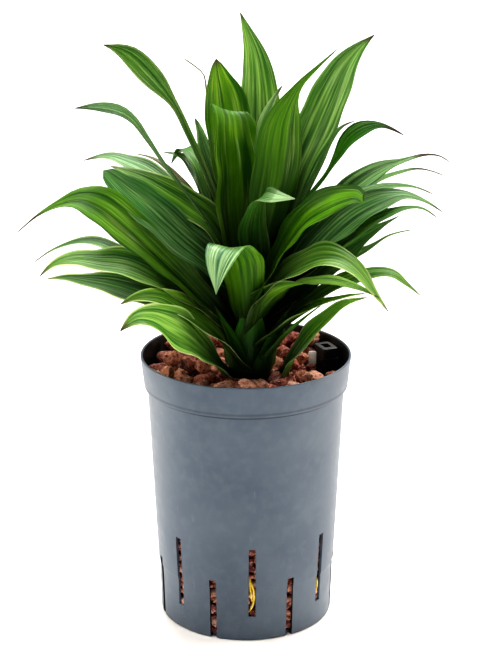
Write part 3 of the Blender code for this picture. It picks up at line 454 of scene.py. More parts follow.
def white_polypropylene():
    """Milky white plastic of the tab: a little dusty, and so thin that light comes through it."""
    material, tree, shader = new_material("moulded_white_polypropylene", 0.4, 1.49)
    where = add_node(tree, "TexCoord").outputs["Object"]
    dust = stretch(tree, grain(tree, where, 3 * MM, 4), 0.5, 0.75, 0, 0.3)
    tree.links.new(mix_colour(tree, dust, "#ffffff", "#ece6e0"), shader.inputs["Base Color"])
    bump(tree, shader, grain(tree, where, 1.0 * MM, 2), 0.03 * MM)
    through = add_node(tree, "BsdfTranslucent", {"Color": linear("#fffffc")})
    both = add_node(tree, "MixShader", {0: 0.45}, {1: shader.outputs["BSDF"], 2: through.outputs["BSDF"]})
    tree.links.new(both.outputs["Shader"], tree.nodes["Material Output"].inputs["Surface"])
    return material


def fired_clay():
    """Broken fired clay: dry and crumbly, each lump of its own red, brown or orange, with a painted highlight on the
    raised parts of its crust and painted shade in its hollows."""
    material, tree, shader = new_material("crushed_fired_clay", 0.92, 1.5)
    where = add_node(tree, "TexCoord").outputs["Object"]
    tone = add_node(tree, "Attribute", attribute_name="lump_tone").outputs["Fac"]
    colour = add_node(tree, "ValToRGB", links={"Fac": tone})
    stops = ((0.0, "#602a2c"), (0.2, "#9c4c46"), (0.42, "#bc786c"), (0.6, "#905850"), (0.8, "#d09076"),
             (1.0, "#f2c4b2"))
    ramp = colour.color_ramp
    while len(ramp.elements) < len(stops):
        ramp.elements.new(1.0)
    for element, (place, value) in zip(ramp.elements, stops):
        element.position = place
        element.color = linear(value)
    crust = grain(tree, where, 2.4 * MM, 6, 0.68)
    stain = grain(tree, where, 6 * MM, 2)
    pores = add_node(tree, "TexVoronoi", {"Scale": 1 / (1.4 * MM)}, {"Vector": where}).outputs["Distance"]
    body = mix_colour(tree, stretch(tree, stain, 0.45, 0.65, 0, 0.4), colour.outputs["Color"], "#c47e62")
    # Painted shade in the low parts of the crust, and a painted highlight on its raised parts.
    shade = mix_colour(tree, stretch(tree, crust, 0.34, 0.5), "#3a1c1c", "#ffffff")
    body = mix_colour(tree, 0.85, body, shade, "MULTIPLY")
    body = mix_colour(tree, stretch(tree, crust, 0.54, 0.68, 0, 0.8), body, "#ecccba")
    tree.links.new(body, shader.inputs["Base Color"])
    height = add_node(tree, "Math", links={0: crust, 1: stretch(tree, pores, 0.0, 0.5, 0.0, 0.4)}, operation="ADD")
    bump(tree, shader, height.outputs["Value"], 1.5 * MM)
    return material


def living_root():
    """Young root: cream to yellow, damp and slightly glossy."""
    material, tree, shader = new_material("living_root", 0.45, 1.4)
    where = add_node(tree, "TexCoord").outputs["Object"]
    tree.links.new(mix_colour(tree, stretch(tree, grain(tree, where, 3 * MM, 3), 0.4, 0.6), "#d8b02c", "#f2dc78"),
                   shader.inputs["Base Color"])
    bump(tree, shader, grain(tree, where, 1.5 * MM, 2), 0.1 * MM)
    return material


def cane_bark():
    """Green-brown skin of the cane, ringed by the scars of old leaves every 4 mm."""
    material, tree, shader = new_material("ringed_cane_skin", 0.6, 1.45)
    where = add_node(tree, "TexCoord").outputs["Object"]
    flat = add_node(tree, "VectorMath", {1: (0.25, 0.25, 1)}, {0: where}, operation="MULTIPLY").outputs["Vector"]
    rings = grain(tree, flat, 2.4 * MM, 3)
    colour = mix_colour(tree, stretch(tree, rings, 0.4, 0.6), "#4d4a2c", "#8a8457")
    tree.links.new(colour, shader.inputs["Base Color"])
    bump(tree, shader, rings, 0.5 * MM)
    return material


def living_leaf():
    """Waxed leaf: deep green with fine lengthwise veins, a pale thin margin that is partly a painted rim highlight, a
    painted blue-grey sheen on some leaves and a painted reflection on folded-over tips, painted glints on the veins, a
    brown tip, painted shade towards the base, and flesh that glows yellow-green when light comes through it. How young
    a leaf is also paints it lighter or darker, as painted light and shade."""
    material, tree, shader = new_material("waxed_living_leaf", 0.42, 1.45)
    shader.inputs["Specular IOR Level"].default_value = 0.3
    place = add_node(tree, "Attribute", attribute_name="blade_place").outputs["Vector"]
    from_cane = add_node(tree, "SeparateXYZ", links={"Vector": place}).outputs["Y"]
    edge = add_node(tree, "SeparateXYZ", links={"Vector": add_node(
        tree, "Attribute", attribute_name="blade_edge").outputs["Vector"]})
    margin, tip, upper = (edge.outputs[axis] for axis in ("X", "Y", "Z"))
    kind = add_node(tree, "SeparateXYZ", links={"Vector": add_node(
        tree, "Attribute", attribute_name="leaf_kind").outputs["Vector"]})
    age_and_painted_light, pale, wax_and_painted_sheen = (kind.outputs[axis] for axis in ("X", "Y", "Z"))
    # How young a leaf is brightens or darkens it as a whole, partly as its own colour and partly as painted light and
    # shade.
    youth_and_painted_light = stretch(tree, age_and_painted_light, 0, 1)

    # The veins stand about 1 mm apart on the plant. They are drawn 1.4 mm apart, so that they show.
    lengthwise = add_node(tree, "VectorMath", {1: (1, 0.03, 1)}, {0: place}, operation="MULTIPLY").outputs["Vector"]
    veins = grain(tree, lengthwise, 1.4 * MM, 2, 0.6)
    bands = grain(tree, lengthwise, 4.5 * MM, 2, 0.5)
    patches = grain(tree, place, 30 * MM, 2)

    deep = mix_colour(tree, youth_and_painted_light, "#123403", "#326a02")
    light = mix_colour(tree, youth_and_painted_light, "#2a6c08", "#92c40e")
    line = mix_colour(tree, youth_and_painted_light, "#5c9828", "#dce468")
    streaks = stretch(tree, bands, 0.4, 0.6)
    flesh = mix_colour(tree, streaks, deep, light)
    flesh = mix_colour(tree, stretch(tree, veins, 0.5, 0.66, 0, 0.34), flesh, line)
    flesh = mix_colour(tree, stretch(tree, patches, 0.42, 0.7, 0, 0.5), flesh, deep)
    # Painted sheen: a blue-grey reflection of the bright surroundings on waxy leaves, and a pale painted reflection on
    # folded-over tips.
    painted_sheen = mix_colour(tree, stretch(tree, veins, 0.38, 0.62), "#4c7a54", "#b8d8a0")
    painted_sheen_share = add_node(tree, "Math", links={0: wax_and_painted_sheen, 1: stretch(tree, bands, 0.35, 0.6, 0.25, 0.6)},
                           operation="MULTIPLY").outputs["Value"]
    folded = stretch(tree, wax_and_painted_sheen, 1.05, 1.3, 0, 0.45)
    painted_sheen_share = add_node(tree, "Math", links={0: painted_sheen_share, 1: folded}, operation="ADD").outputs["Value"]
    flesh = mix_colour(tree, painted_sheen_share, flesh, painted_sheen)
    flesh = mix_colour(tree, stretch(tree, upper, 0, 1, 0.25, 0), flesh, "#4f8a14")
    glints = add_node(tree, "Math", links={0: stretch(tree, veins, 0.62, 0.7, 0, 0.5),
                                           1: stretch(tree, patches, 0.45, 0.6)}, operation="MULTIPLY")
    flesh = mix_colour(tree, glints.outputs["Value"], flesh, "#a8c890")
    # The pale margin is partly the leaf's own colour and partly a painted rim highlight.
    thin_margin = stretch(tree, margin, 0.6 * MM, 1.6 * MM, 1, 0)
    patchy = add_node(tree, "Math", links={0: stretch(tree, patches, 0.4, 0.6, 0.35, 1), 1: thin_margin},
                      operation="MULTIPLY").outputs["Value"]
    pale_share = add_node(tree, "Math", links={0: patchy, 1: stretch(tree, pale, 0.3, 1)},
                          operation="MULTIPLY").outputs["Value"]
    flesh = mix_colour(tree, pale_share, flesh, "#eaf0b0")
    # Painted shade: the blade darkens towards the cane, both along its length and deep inside the plant.
    length = add_node(tree, "Math", links={0: from_cane, 1: tip}, operation="ADD").outputs["Value"]
    along_blade = add_node(tree, "Math", links={0: from_cane, 1: length}, operation="DIVIDE").outputs["Value"]
    shade = mix_colour(tree, stretch(tree, along_blade, 0.1, 0.74), "#4c5c46", "#ffffff")
    deep_inside = mix_colour(tree, stretch(tree, from_cane, 20 * MM, 80 * MM), "#808876", "#ffffff")
    shade = mix_colour(tree, 1.0, shade, deep_inside, "MULTIPLY")
    flesh = mix_colour(tree, 1.0, flesh, shade, "MULTIPLY")
    dead_streaks = mix_colour(tree, streaks, "#48502e", "#8f8a68")
    dead = mix_colour(tree, stretch(tree, age_and_painted_light, -1, 0), dead_streaks, "#3c3014")
    withered = stretch(tree, tip, -4 * MM, 4 * MM, 1, 0)
    flesh = mix_colour(tree, withered, flesh, dead)
    tree.links.new(flesh, shader.inputs["Base Color"])
    gloss = stretch(tree, veins, 0.3, 0.7, 0.12, -0.04)
    roughness = add_node(tree, "Math", links={0: stretch(tree, wax_and_painted_sheen, 0, 1, 0.46, 0.26), 1: gloss}, operation="ADD")
    tree.links.new(roughness.outputs["Value"], shader.inputs["Roughness"])
    ridges = add_node(tree, "Math", {1: 2.5}, {0: bands}, operation="MULTIPLY").outputs["Value"]
    relief = add_node(tree, "Math", links={0: veins, 1: ridges}, operation="ADD").outputs["Value"]
    bump(tree, shader, relief, 0.5 * MM)

    glow = mix_colour(tree, stretch(tree, veins, 0.4, 0.7), "#6ea60c", "#c2e040")
    glow = mix_colour(tree, 1.0, glow, shade, "MULTIPLY")
    glow = mix_colour(tree, withered, glow, "#4a3818")
    through = add_node(tree, "BsdfTranslucent", links={"Color": glow})
    both = add_node(tree, "MixShader", links={0: stretch(tree, youth_and_painted_light, 0, 1, 0.18, 0.38),
                                              1: shader.outputs["BSDF"], 2: through.outputs["BSDF"]})
    tree.links.new(both.outputs["Shader"], tree.nodes["Material Output"].inputs["Surface"])
    return material


def pale_floor():
    """Matt studio paper."""
    material, tree, shader = new_material("matt_studio_paper", 0.9)
    where = add_node(tree, "TexCoord").outputs["Object"]
    tree.links.new(mix_colour(tree, grain(tree, where, 400 * MM), "#f4f4f3", "#f8f8f7"), shader.inputs["Base Color"])
    return material


def inner_radius(height):
    """Radius of the pot's inner wall, below its stacking band and within it."""
    if height < BAND_FOOT_HEIGHT + WALL:
        share = height / BAND_FOOT_HEIGHT
        return FOOT_RADIUS + (NECK_RADIUS - FOOT_RADIUS) * share - WALL - FOOT_STEP
    share = (height - BAND_FOOT_HEIGHT) / (POT_HEIGHT - BAND_FOOT_HEIGHT)
    return BAND_FOOT_RADIUS + (RIM_RADIUS - BAND_FOOT_RADIUS) * share - WALL


def pot_profile():
    """The pot's section, from the middle of its inner floor over the lip and down to its underside."""
    shelf = BAND_FOOT_HEIGHT + WALL
    share = FOOT_STEP_HEIGHT / BAND_FOOT_HEIGHT
    step_radius = FOOT_RADIUS + (NECK_RADIUS - FOOT_RADIUS) * share
    just_below = inner_radius(shelf - 0.01 * MM)
    lip = [(RIM_RADIUS - LIP + LIP * math.sin(turn), POT_HEIGHT - LIP + LIP * math.cos(turn))
           for turn in (math.radians(step) for step in range(-90, 91, 18))]
    wall_turn = (step_radius - NECK_RADIUS) / (FOOT_STEP_HEIGHT - BAND_FOOT_HEIGHT)
    return ([(0, FLOOR), (inner_radius(FLOOR) - 2 * MM, FLOOR), (inner_radius(FLOOR), FLOOR + 2 * MM),
             (just_below, shelf - 1.2 * MM), (just_below + 0.4 * MM, shelf - 0.4 * MM),
             (inner_radius(shelf) - 1.0 * MM, shelf), (inner_radius(shelf), shelf + 0.8 * MM)]
            + lip
            + [(BAND_FOOT_RADIUS + 0.1 * MM, BAND_FOOT_HEIGHT + 0.7 * MM),
               (BAND_FOOT_RADIUS - 0.5 * MM, BAND_FOOT_HEIGHT), (NECK_RADIUS + 0.8 * MM, BAND_FOOT_HEIGHT - 0.2 * MM),
               (NECK_RADIUS + 0.2 * MM, BAND_FOOT_HEIGHT - 0.8 * MM), (NECK_RADIUS, BAND_FOOT_HEIGHT - 2 * MM)]
            + [(NECK_RADIUS + wall_turn * (height - BAND_FOOT_HEIGHT), height)
               for height in (140 * MM, 100 * MM, 72 * MM)]
            + [(step_radius, FOOT_STEP_HEIGHT + 1.8 * MM), (step_radius - 0.2 * MM, FOOT_STEP_HEIGHT + 0.9 * MM),
               (step_radius - FOOT_STEP, FOOT_STEP_HEIGHT),
               (FOOT_RADIUS, 2 * MM), (FOOT_RADIUS - 0.35 * MM, 0.7 * MM), (FOOT_RADIUS - 1.4 * MM, 0), (0, 0)])


def slots():
    """Turn, foot and top of every water slot, in two staggered rows."""
    pitch = math.tau / SLOTS_A_ROW
    front = -math.pi / 2
    for index in range(SLOTS_A_ROW):
        yield front + UPPER_SLOT_TURN + index * pitch, UPPER_SLOT_FOOT, UPPER_SLOT_TOP
        yield front + UPPER_SLOT_TURN + (index + 0.5) * pitch, LOWER_SLOT_FOOT, LOWER_SLOT_TOP


def make_pot(outside, inside):
    cutters = bmesh.new()
    for turn, foot, top in slots():
        slot = box_bmesh((9 * MM, SLOT_WIDTH, top - foot), (FOOT_RADIUS, 0, (top + foot) / 2), turn)
        append(cutters, slot)
    bm = cut(turned(pot_profile(), POT_SIDES), cutters)
    for face in bm.faces:
        middle = face.calc_center_median()
        height = middle.z
        face.material_index = int(middle.xy.length < inner_radius(height) + 0.5 * MM and FLOOR - MM < height
                                  and height < POT_HEIGHT - 1.1 * MM and middle.xy.length > 0)
    mesh = finish_mesh(bm, "pot", 28)
    return add_piece("culture_pot", mesh, (outside, inside), "pot")


def lump_bmesh(radius, draw, subdivisions):
    """One broken lump: a ball with flats knocked off it and a crumbly skin."""
    bm = bmesh.new()
    bmesh.ops.create_icosphere(bm, subdivisions=subdivisions, radius=1)
    flats = []
    for number in range(8):
        way = Vector((draw.gauss(0, 1), draw.gauss(0, 1), draw.gauss(0, 1))).normalized()
        flats.append((way, draw.uniform(0.55, 0.82)))
    place = Vector((draw.uniform(-50, 50), draw.uniform(-50, 50), draw.uniform(-50, 50)))
    for vert in bm.verts:
        for way, reach in flats:
            beyond = vert.co.dot(way) - reach
            if beyond > 0:
                vert.co -= way * beyond
        rough = 0.22 * noise.noise(vert.co * 1.6 + place) + 0.15 * noise.noise(vert.co * 4 + place)
        vert.co *= 1.14 + rough + 0.08 * noise.noise(vert.co * 9 + place)
    squash = (1, draw.uniform(0.74, 1), draw.uniform(0.66, 0.9))
    bmesh.ops.scale(bm, vec=Vector(squash) * radius, verts=bm.verts)
    spin = Matrix.Rotation(draw.uniform(0, math.tau), 3, "Z") @ Matrix.Rotation(draw.uniform(-0.5, 0.5), 3, "X")
    bmesh.ops.rotate(bm, cent=(0, 0, 0), matrix=spin, verts=bm.verts)
    return bm


def stack_lumps(draw):
    """Lumps on the core: flat pale ones inside the front rim and one of the darkest tone low in front of the gauge
    holder as painted shade, then others dropped one by one. Each takes the lowest of a few random places, and none
    fills the gap in front of the gauge holder."""
    placed = [(Vector((x, y, level)) * MM, radius * MM, tone) for x, y, level, radius, tone in FRONT_LUMPS]
    holder = Matrix.Rotation(HOLDER_TURN, 3, "Z") @ Vector((HOLDER_RADIUS, 0, 0))
    keep_out = ((Vector((CANE_X, CANE_Y)), CANE_RADIUS), (holder.xy, HOLDER_WIDTH * 0.56), (TAB_CENTRE.xy, 3 * MM))
    for number in range(LUMP_COUNT):
        radius = LUMP_SMALL + (LUMP_LARGE - LUMP_SMALL) * draw.random() ** 1.3
        best = None
        for attempt in range(14):
            turn = draw.uniform(0, math.tau)
            spot = Vector((math.cos(turn), math.sin(turn))) * math.sqrt(draw.random())
            spot *= inner_radius(POT_HEIGHT - 10 * MM) - radius - 0.4 * MM
            if any((spot - centre).length < reach + radius * 0.8 for centre, reach in keep_out):
                continue
            height = CORE_LEVEL + radius * 0.3
            for other, other_radius, other_tone in placed:
                reach = LUMP_PACKING * (radius + other_radius)
                apart = (other.xy - spot).length
                if apart < reach:
                    height = max(height, other.z + math.sqrt(reach**2 - apart**2))
            if (spot - GAP_CENTRE.xy).length < GAP_RADIUS + radius * 0.8 and height + radius > GAP_LEVEL:
                continue
            if spot.length + radius > inner_radius(BAND_FOOT_HEIGHT) and height - radius < BAND_FOOT_HEIGHT:
                continue
            if best is None or height < best.z:
                best = Vector((spot.x, spot.y, height))
        if best and best.z + radius * 0.75 < LUMP_TOP_LIMIT:
            placed.append((best, radius, draw.random() ** 0.75))
    return placed


def slot_lumps(draw):
    """Lumps that show behind each water slot."""
    placed = []
    for turn, foot, top in slots():
        height = max(foot, FLOOR) + 2 * MM
        while height < top + 4 * MM:
            radius = draw.uniform(2.2, 4.4) * MM
            for side in (-1, 0, 1):
                angle = turn + (side + draw.uniform(-0.3, 0.3)) * radius * 1.2 / FOOT_RADIUS
                distance = inner_radius(height) - radius * draw.uniform(0.85, 1.1)
                centre = Vector((distance * math.cos(angle), distance * math.sin(angle),
                                 max(height + draw.uniform(-1.5, 1.5) * MM, FLOOR + radius * 0.8)))
                placed.append((centre, radius, draw.choice(SLOT_TONES)))
            height += radius * 1.8
    return placed


def append_lumps(joined, lumps, subdivisions, draw):
    """Add a lump at every place, each with its own tone."""
    for centre, radius, tone in lumps:
        lump = lump_bmesh(radius, draw, subdivisions)
        bmesh.ops.translate(lump, vec=centre, verts=lump.verts)
        layer = lump.verts.layers.float.new("lump_tone")
        for vert in lump.verts:
            vert[layer] = tone
        append(joined, lump)


def append(joined, bm):
    """Copy one bmesh into another."""
    mesh = bpy.data.meshes.new("scratch")
    bm.to_mesh(mesh)
    bm.free()
    joined.from_mesh(mesh)
    bpy.data.meshes.remove(mesh)


def make_granules(clay):
    """The lumps at the top with the plain core under them, and the lumps that show in the slots."""
    draw = random.Random(11)
    for name, lumps, subdivisions in (("crushed_clay", stack_lumps(draw), 3), ("slot_clay", slot_lumps(draw), 2)):
        joined = bmesh.new()
        joined.verts.layers.float.new("lump_tone")
        append_lumps(joined, lumps, subdivisions, draw)
        if name == "crushed_clay":
            profile = [(0, CORE_LEVEL)]
            profile += [(inner_radius(height) - CORE_INSET, height) for height in (CORE_LEVEL, 90 * MM, FLOOR)]
            profile += [(0, FLOOR)]
            core = turned(profile, 48)
            bmesh.ops.translate(core, vec=(0, 0, 0.4 * MM), verts=core.verts)
            append(joined, core)
        add_piece(name, finish_mesh(joined, name, 50), (clay,), "clay_granules")


def make_holder(black):
    """The gauge holder: a head with a shallow slot, a lip around it and a shank in the granules."""
    head_height = HOLDER_TOP - HOLDER_FOOT
    head = box_bmesh((HOLDER_DEPTH, HOLDER_WIDTH, head_height), (HOLDER_RADIUS, 0, HOLDER_FOOT + head_height / 2))
    upright = [edge for edge in head.edges if abs(edge.verts[0].co.z - edge.verts[1].co.z) > MM]
    bmesh.ops.bevel(head, geom=upright, offset=2.2 * MM, segments=5, affect="EDGES", profile=0.5)
    top_edges = [edge for edge in head.edges if all(vert.co.z > HOLDER_TOP - 0.1 * MM for vert in edge.verts)]
    bmesh.ops.bevel(head, geom=top_edges, offset=0.6 * MM, segments=3, affect="EDGES", profile=0.5)
    width, depth, drop = HOLDER_SLOT
    head = cut(head, box_bmesh((depth, width, 2 * drop), (HOLDER_RADIUS, 0, HOLDER_TOP)))
    lip = box_bmesh((HOLDER_DEPTH + 2 * HOLDER_LIP, HOLDER_WIDTH + 2 * HOLDER_LIP, 2.4 * MM),
                    (HOLDER_RADIUS, 0, HOLDER_TOP - 8.5 * MM))
    upright = [edge for edge in lip.edges if abs(edge.verts[0].co.z - edge.verts[1].co.z) > MM]
    bmesh.ops.bevel(lip, geom=upright, offset=2.6 * MM, segments=5, affect="EDGES", profile=0.5)
    bmesh.ops.bevel(lip, geom=list(lip.edges), offset=0.35 * MM, segments=2, affect="EDGES", profile=0.5,
                    clamp_overlap=True)
    head = cut(head, lip, "UNION")
    shank_height = HOLDER_FOOT + 2 * MM - SHANK_FOOT
    shank = box_bmesh((SHANK_DEPTH, SHANK_WIDTH, shank_height), (SHANK_RADIUS, 0, SHANK_FOOT + shank_height / 2))
    head = cut(head, shank, "UNION")
    bmesh.ops.rotate(head, cent=(0, 0, 0), matrix=Matrix.Rotation(HOLDER_TURN, 3, "Z"), verts=head.verts)
    mesh = finish_mesh(head, "gauge_holder", 35)
    return add_piece("gauge_socket", mesh, (black,), "gauge_holder")


def make_tab(white):
    tab = box_bmesh(TAB_SIZE, TAB_CENTRE + Vector((0, 0, TAB_TOP - TAB_SIZE.z / 2)))
    top_corners = [edge for edge in tab.edges if abs(edge.verts[0].co.y - edge.verts[1].co.y) > 0.5 * MM
                   and edge.verts[0].co.z > TAB_TOP - 0.1 * MM]
    bmesh.ops.bevel(tab, geom=top_corners, offset=1.2 * MM, segments=5, affect="EDGES", profile=0.5)
    bmesh.ops.bevel(tab, geom=list(tab.edges), offset=0.15 * MM, segments=2, affect="EDGES", profile=0.5)
    return add_piece("height_tab", finish_mesh(tab, "tab", 40), (white,), "white_tab")


def smooth_path(points, count):
    """Even points along a smooth curve through the given points."""
    points = [Vector(point) for point in points]
    knots = [0.0]
    for start, end in zip(points, points[1:]):
        knots.append(knots[-1] + math.sqrt((end - start).length))
    slopes = []
    for index, point in enumerate(points):
        before = (point - points[index - 1]) / (knots[index] - knots[index - 1]) if index else None
        after = None
        if index + 1 < len(points):
            after = (points[index + 1] - point) / (knots[index + 1] - knots[index])
        if before is None or after is None:
            slopes.append(before or after)
            continue
        share = (knots[index] - knots[index - 1]) / (knots[index + 1] - knots[index - 1])
        slopes.append(before.lerp(after, share))
    slopes[-1] = 1.5 * slopes[-1] - 0.5 * slopes[-2]

    fine = []
    steps = 24
    for index in range(len(points) - 1):
        span = knots[index + 1] - knots[index]
        for step in range(steps):
            u = step / steps
            fine.append((2 * u**3 - 3 * u**2 + 1) * points[index] + (u**3 - 2 * u**2 + u) * span * slopes[index]
                        + (3 * u**2 - 2 * u**3) * points[index + 1] + (u**3 - u**2) * span * slopes[index + 1])
    fine.append(points[-1])
    lengths = [0.0]
    for start, end in zip(fine, fine[1:]):
        lengths.append(lengths[-1] + (end - start).length)
    even = []
    index = 0
    for number in range(count + 1):
        target = lengths[-1] * number / count
        while index < len(fine) - 2 and lengths[index + 1] < target:
            index += 1
        share = (target - lengths[index]) / (lengths[index + 1] - lengths[index])
        even.append(fine[index].lerp(fine[index + 1], share))
    return even


def along(values, share):
    """A value at a share of the way along a row of even values, on a smooth curve through them."""
    place = share * (len(values) - 1)
    index = min(int(place), len(values) - 2)
    u = place - index
    before, start, end, after = (values[min(max(index + step, 0), len(values) - 1)] for step in (-1, 0, 1, 2))
    bend = 2 * before - 5 * start + 4 * end - after + u * (3 * (start - end) + after - before)
    return start + 0.5 * u * (end - before + u * bend)


def ease(share):
    share = min(max(share, 0.0), 1.0)
    return share * share * (3 - 2 * share)


def seen(across, up, back):
    """The place that the viewer sees so far right of the axis and above VIEW_HEIGHT, at its depth, in mm."""
    away = VIEW_DISTANCE / MM * math.cos(VIEW_TILT)
    eye = (VIEW_HEIGHT + VIEW_DISTANCE * math.sin(VIEW_TILT)) / MM
    share = (back + away) / (up * math.sin(VIEW_TILT) + away)
    drawn = VIEW_HEIGHT / MM + up * math.cos(VIEW_TILT)
    return Vector((across * share, back, eye + (drawn - eye) * share)) * MM


def sheath_point(heading, root, height, offset, share):
    """A point of the leaf's base where it wraps the cane."""
    low, high = 190 * MM, 248 * MM
    radius = SHEATH_RADIUS_LOW + (SHEATH_RADIUS_HIGH - SHEATH_RADIUS_LOW) * (root - low) / (high - low)
    turn = math.atan2(heading.y, heading.x) + offset * SHEATH_WRAP * (1 - 0.55 * share)
    drop = 3 * MM * abs(offset) ** 2 * share
    return Vector((CANE_X + radius * math.cos(turn), CANE_Y + radius * math.sin(turn), height - drop))


def blade_sections(points, widths, turns, draw):
    """Rows of points across a blade from its base to its tip, and each row's half width and distance."""
    path = smooth_path(points, LEAF_SECTIONS)
    step_length = (path[1] - path[0]).length
    heading = path[-1] - path[0]
    heading.z = 0
    side = Vector((-heading.y, heading.x, 0)).normalized()
    start = path[3] - path[0]
    phases = [draw.uniform(0, math.tau) for edge in range(2)]
    rows = []
    halves = []
    for index, point in enumerate(path):
        share = index / LEAF_SECTIONS
        travelled = index * step_length
        ahead = (path[min(index + 1, LEAF_SECTIONS)] - path[max(index - 1, 0)]).normalized()
        flat = (side - side.dot(ahead) * ahead).normalized()
        up = ahead.cross(flat)
        turn = math.radians(along(turns, share))
        flat, up = flat * math.cos(turn) + up * math.sin(turn), up * math.cos(turn) - flat * math.sin(turn)
        fold = math.radians(along(CHANNEL, share))
        rounding = math.sqrt(1 - max((share - TIP_ROUND_START) / (1 - TIP_ROUND_START), 0) ** 2)
        half = max(along(widths, share) * MM * rounding, TIP_WIDTH) / 2
        waviness = WAVE_HEIGHT * ease(share * 3) * ease((1 - share) * 4) * half / (15 * MM)
        row = []
        for step in range(LEAF_ACROSS + 1):
            offset = 2 * step / LEAF_ACROSS - 1
            wave = waviness * math.sin(math.tau * travelled / WAVE_LENGTH + phases[offset > 0])
            rise = half * abs(offset) ** 1.3 * math.sin(fold) + wave * abs(offset) ** 3
            place = point + flat * half * offset * math.cos(fold) + up * rise
            if travelled < SHEATH_LENGTH:
                wrapped = sheath_point(start if start.xy.length > MM else heading, points[0].z, point.z, offset,
                                       travelled / SHEATH_LENGTH)
                place = wrapped.lerp(place, ease(travelled / SHEATH_LENGTH))
            row.append(place)
        rows.append(row)
        halves.append(half)
    return np.array(rows), np.array(halves), step_length


def leaf_rows():
    """Every leaf as its name, midrib points from the cane's axis to the tip, and blade values, in metres."""
    leaves = []
    for name, root, places, widths, turns in FRONT_LEAVES:
        path = [Vector((CANE_X, CANE_Y, root * MM))] + [seen(*place) for place in places]
        leaves.append((name, path, widths, turns))
    for index in range(BACK_LEAF_COUNT):
        share = index / (BACK_LEAF_COUNT - 1)
        ranges = (BACK_ROOT, BACK_REACH, BACK_RISE, BACK_WIDTH, BACK_ARC_START, BACK_ARC_END)
        root, reach, rise, width, arc_start, arc_end = (low + (high - low) * share for low, high in ranges)
        turn = math.radians(arc_start + (arc_end - arc_start) * (index * GOLDEN_SHARE % 1))
        away = Vector((math.cos(turn), math.sin(turn), 0))
        foot = Vector((CANE_X, CANE_Y, root * MM))
        path = [foot] + [foot + (away * reach * out + Vector((0, 0, rise * up))) * MM for out, up in BACK_MIDRIB]
        widths = [width * part for part in BACK_WIDTH_SHARES]
        leaves.append((f"back_{index + 1}", path, widths, (0, 8 * (-1) ** index, 0)))
    return leaves


def leaf_parts(number, name, path, widths, turns):
    """A closed thin blade as vertices, faces and the values that its material reads at each vertex."""
    draw = random.Random(number)
    middle, halves, step_length = blade_sections(path, widths, turns, draw)
    rows, columns = middle.shape[:2]
    down = np.gradient(middle, axis=0)
    across = np.gradient(middle, axis=1)
    normal = np.cross(down, across)
    normal /= np.linalg.norm(normal, axis=2, keepdims=True) + 1e-12
    offset = np.linspace(-1, 1, columns)
    travelled = np.arange(rows) * step_length
    base = SHEATH_THICKNESS + (LEAF_THICKNESS - SHEATH_THICKNESS) * np.clip(travelled / SHEATH_LENGTH, 0, 1)
    thick = MARGIN_THICKNESS + (base[:, None] - MARGIN_THICKNESS) * (1 - np.abs(offset[None, :]) ** 2)
    thick[-1] = MARGIN_THICKNESS
    upper = middle + normal * thick[..., None] / 2
    lower = middle - normal * thick[..., None] / 2
    verts = np.concatenate([upper.reshape(-1, 3), lower.reshape(-1, 3)])

    count = rows * columns
    faces = []
    for row in range(rows - 1):
        for column in range(columns - 1):
            corner = row * columns + column
            face = (corner, corner + columns, corner + columns + 1, corner + 1)
            faces.append(face)
            faces.append(tuple(count + index for index in reversed(face)))
        for column, flip in ((0, False), (columns - 1, True)):
            corner = row * columns + column
            face = (corner, count + corner, count + corner + columns, corner + columns)
            faces.append(face[::-1] if flip else face)
    for row, flip in ((0, True), (rows - 1, False)):
        for column in range(columns - 1):
            corner = row * columns + column
            face = (corner, count + corner, count + corner + 1, corner + 1)
            faces.append(face[::-1] if flip else face)

    across_mm = offset[None, :] * halves[:, None]
    veins = np.repeat(offset[None, :] * VEIN_HALF_WIDTH, rows, 0)
    from_cane = np.repeat(travelled[:, None], columns, 1)
    place = np.stack([veins, from_cane, np.full((rows, columns), number * 0.31)], axis=2).reshape(-1, 3)
    youth_and_painted_light, pale, wax_and_painted_sheen, dry, folded = LEAF_LOOKS.get(name, USUAL_LOOK)
    margin = halves[:, None] - np.abs(across_mm)
    tip = travelled[-1] - from_cane
    edges = [np.stack([margin, tip - dry * MM, np.full((rows, columns), side)], axis=2).reshape(-1, 3)
             for side in (1.0, 0.0)]
    # The folded-over tip is given a painted reflection.
    wax_sheen_and_tip_reflection = np.maximum(wax_and_painted_sheen, 2 * np.clip(folded * MM / (tip + MM) - 0.8, 0, 1)) if folded else np.full(tip.shape, wax_and_painted_sheen)
    kind = np.stack([np.full(tip.shape, youth_and_painted_light + draw.uniform(-0.08, 0.08)), np.full(tip.shape, pale), wax_sheen_and_tip_reflection],
                    axis=2).reshape(-1, 3)
    return verts, faces, np.concatenate([place, place]), np.concatenate(edges), np.concatenate([kind, kind])


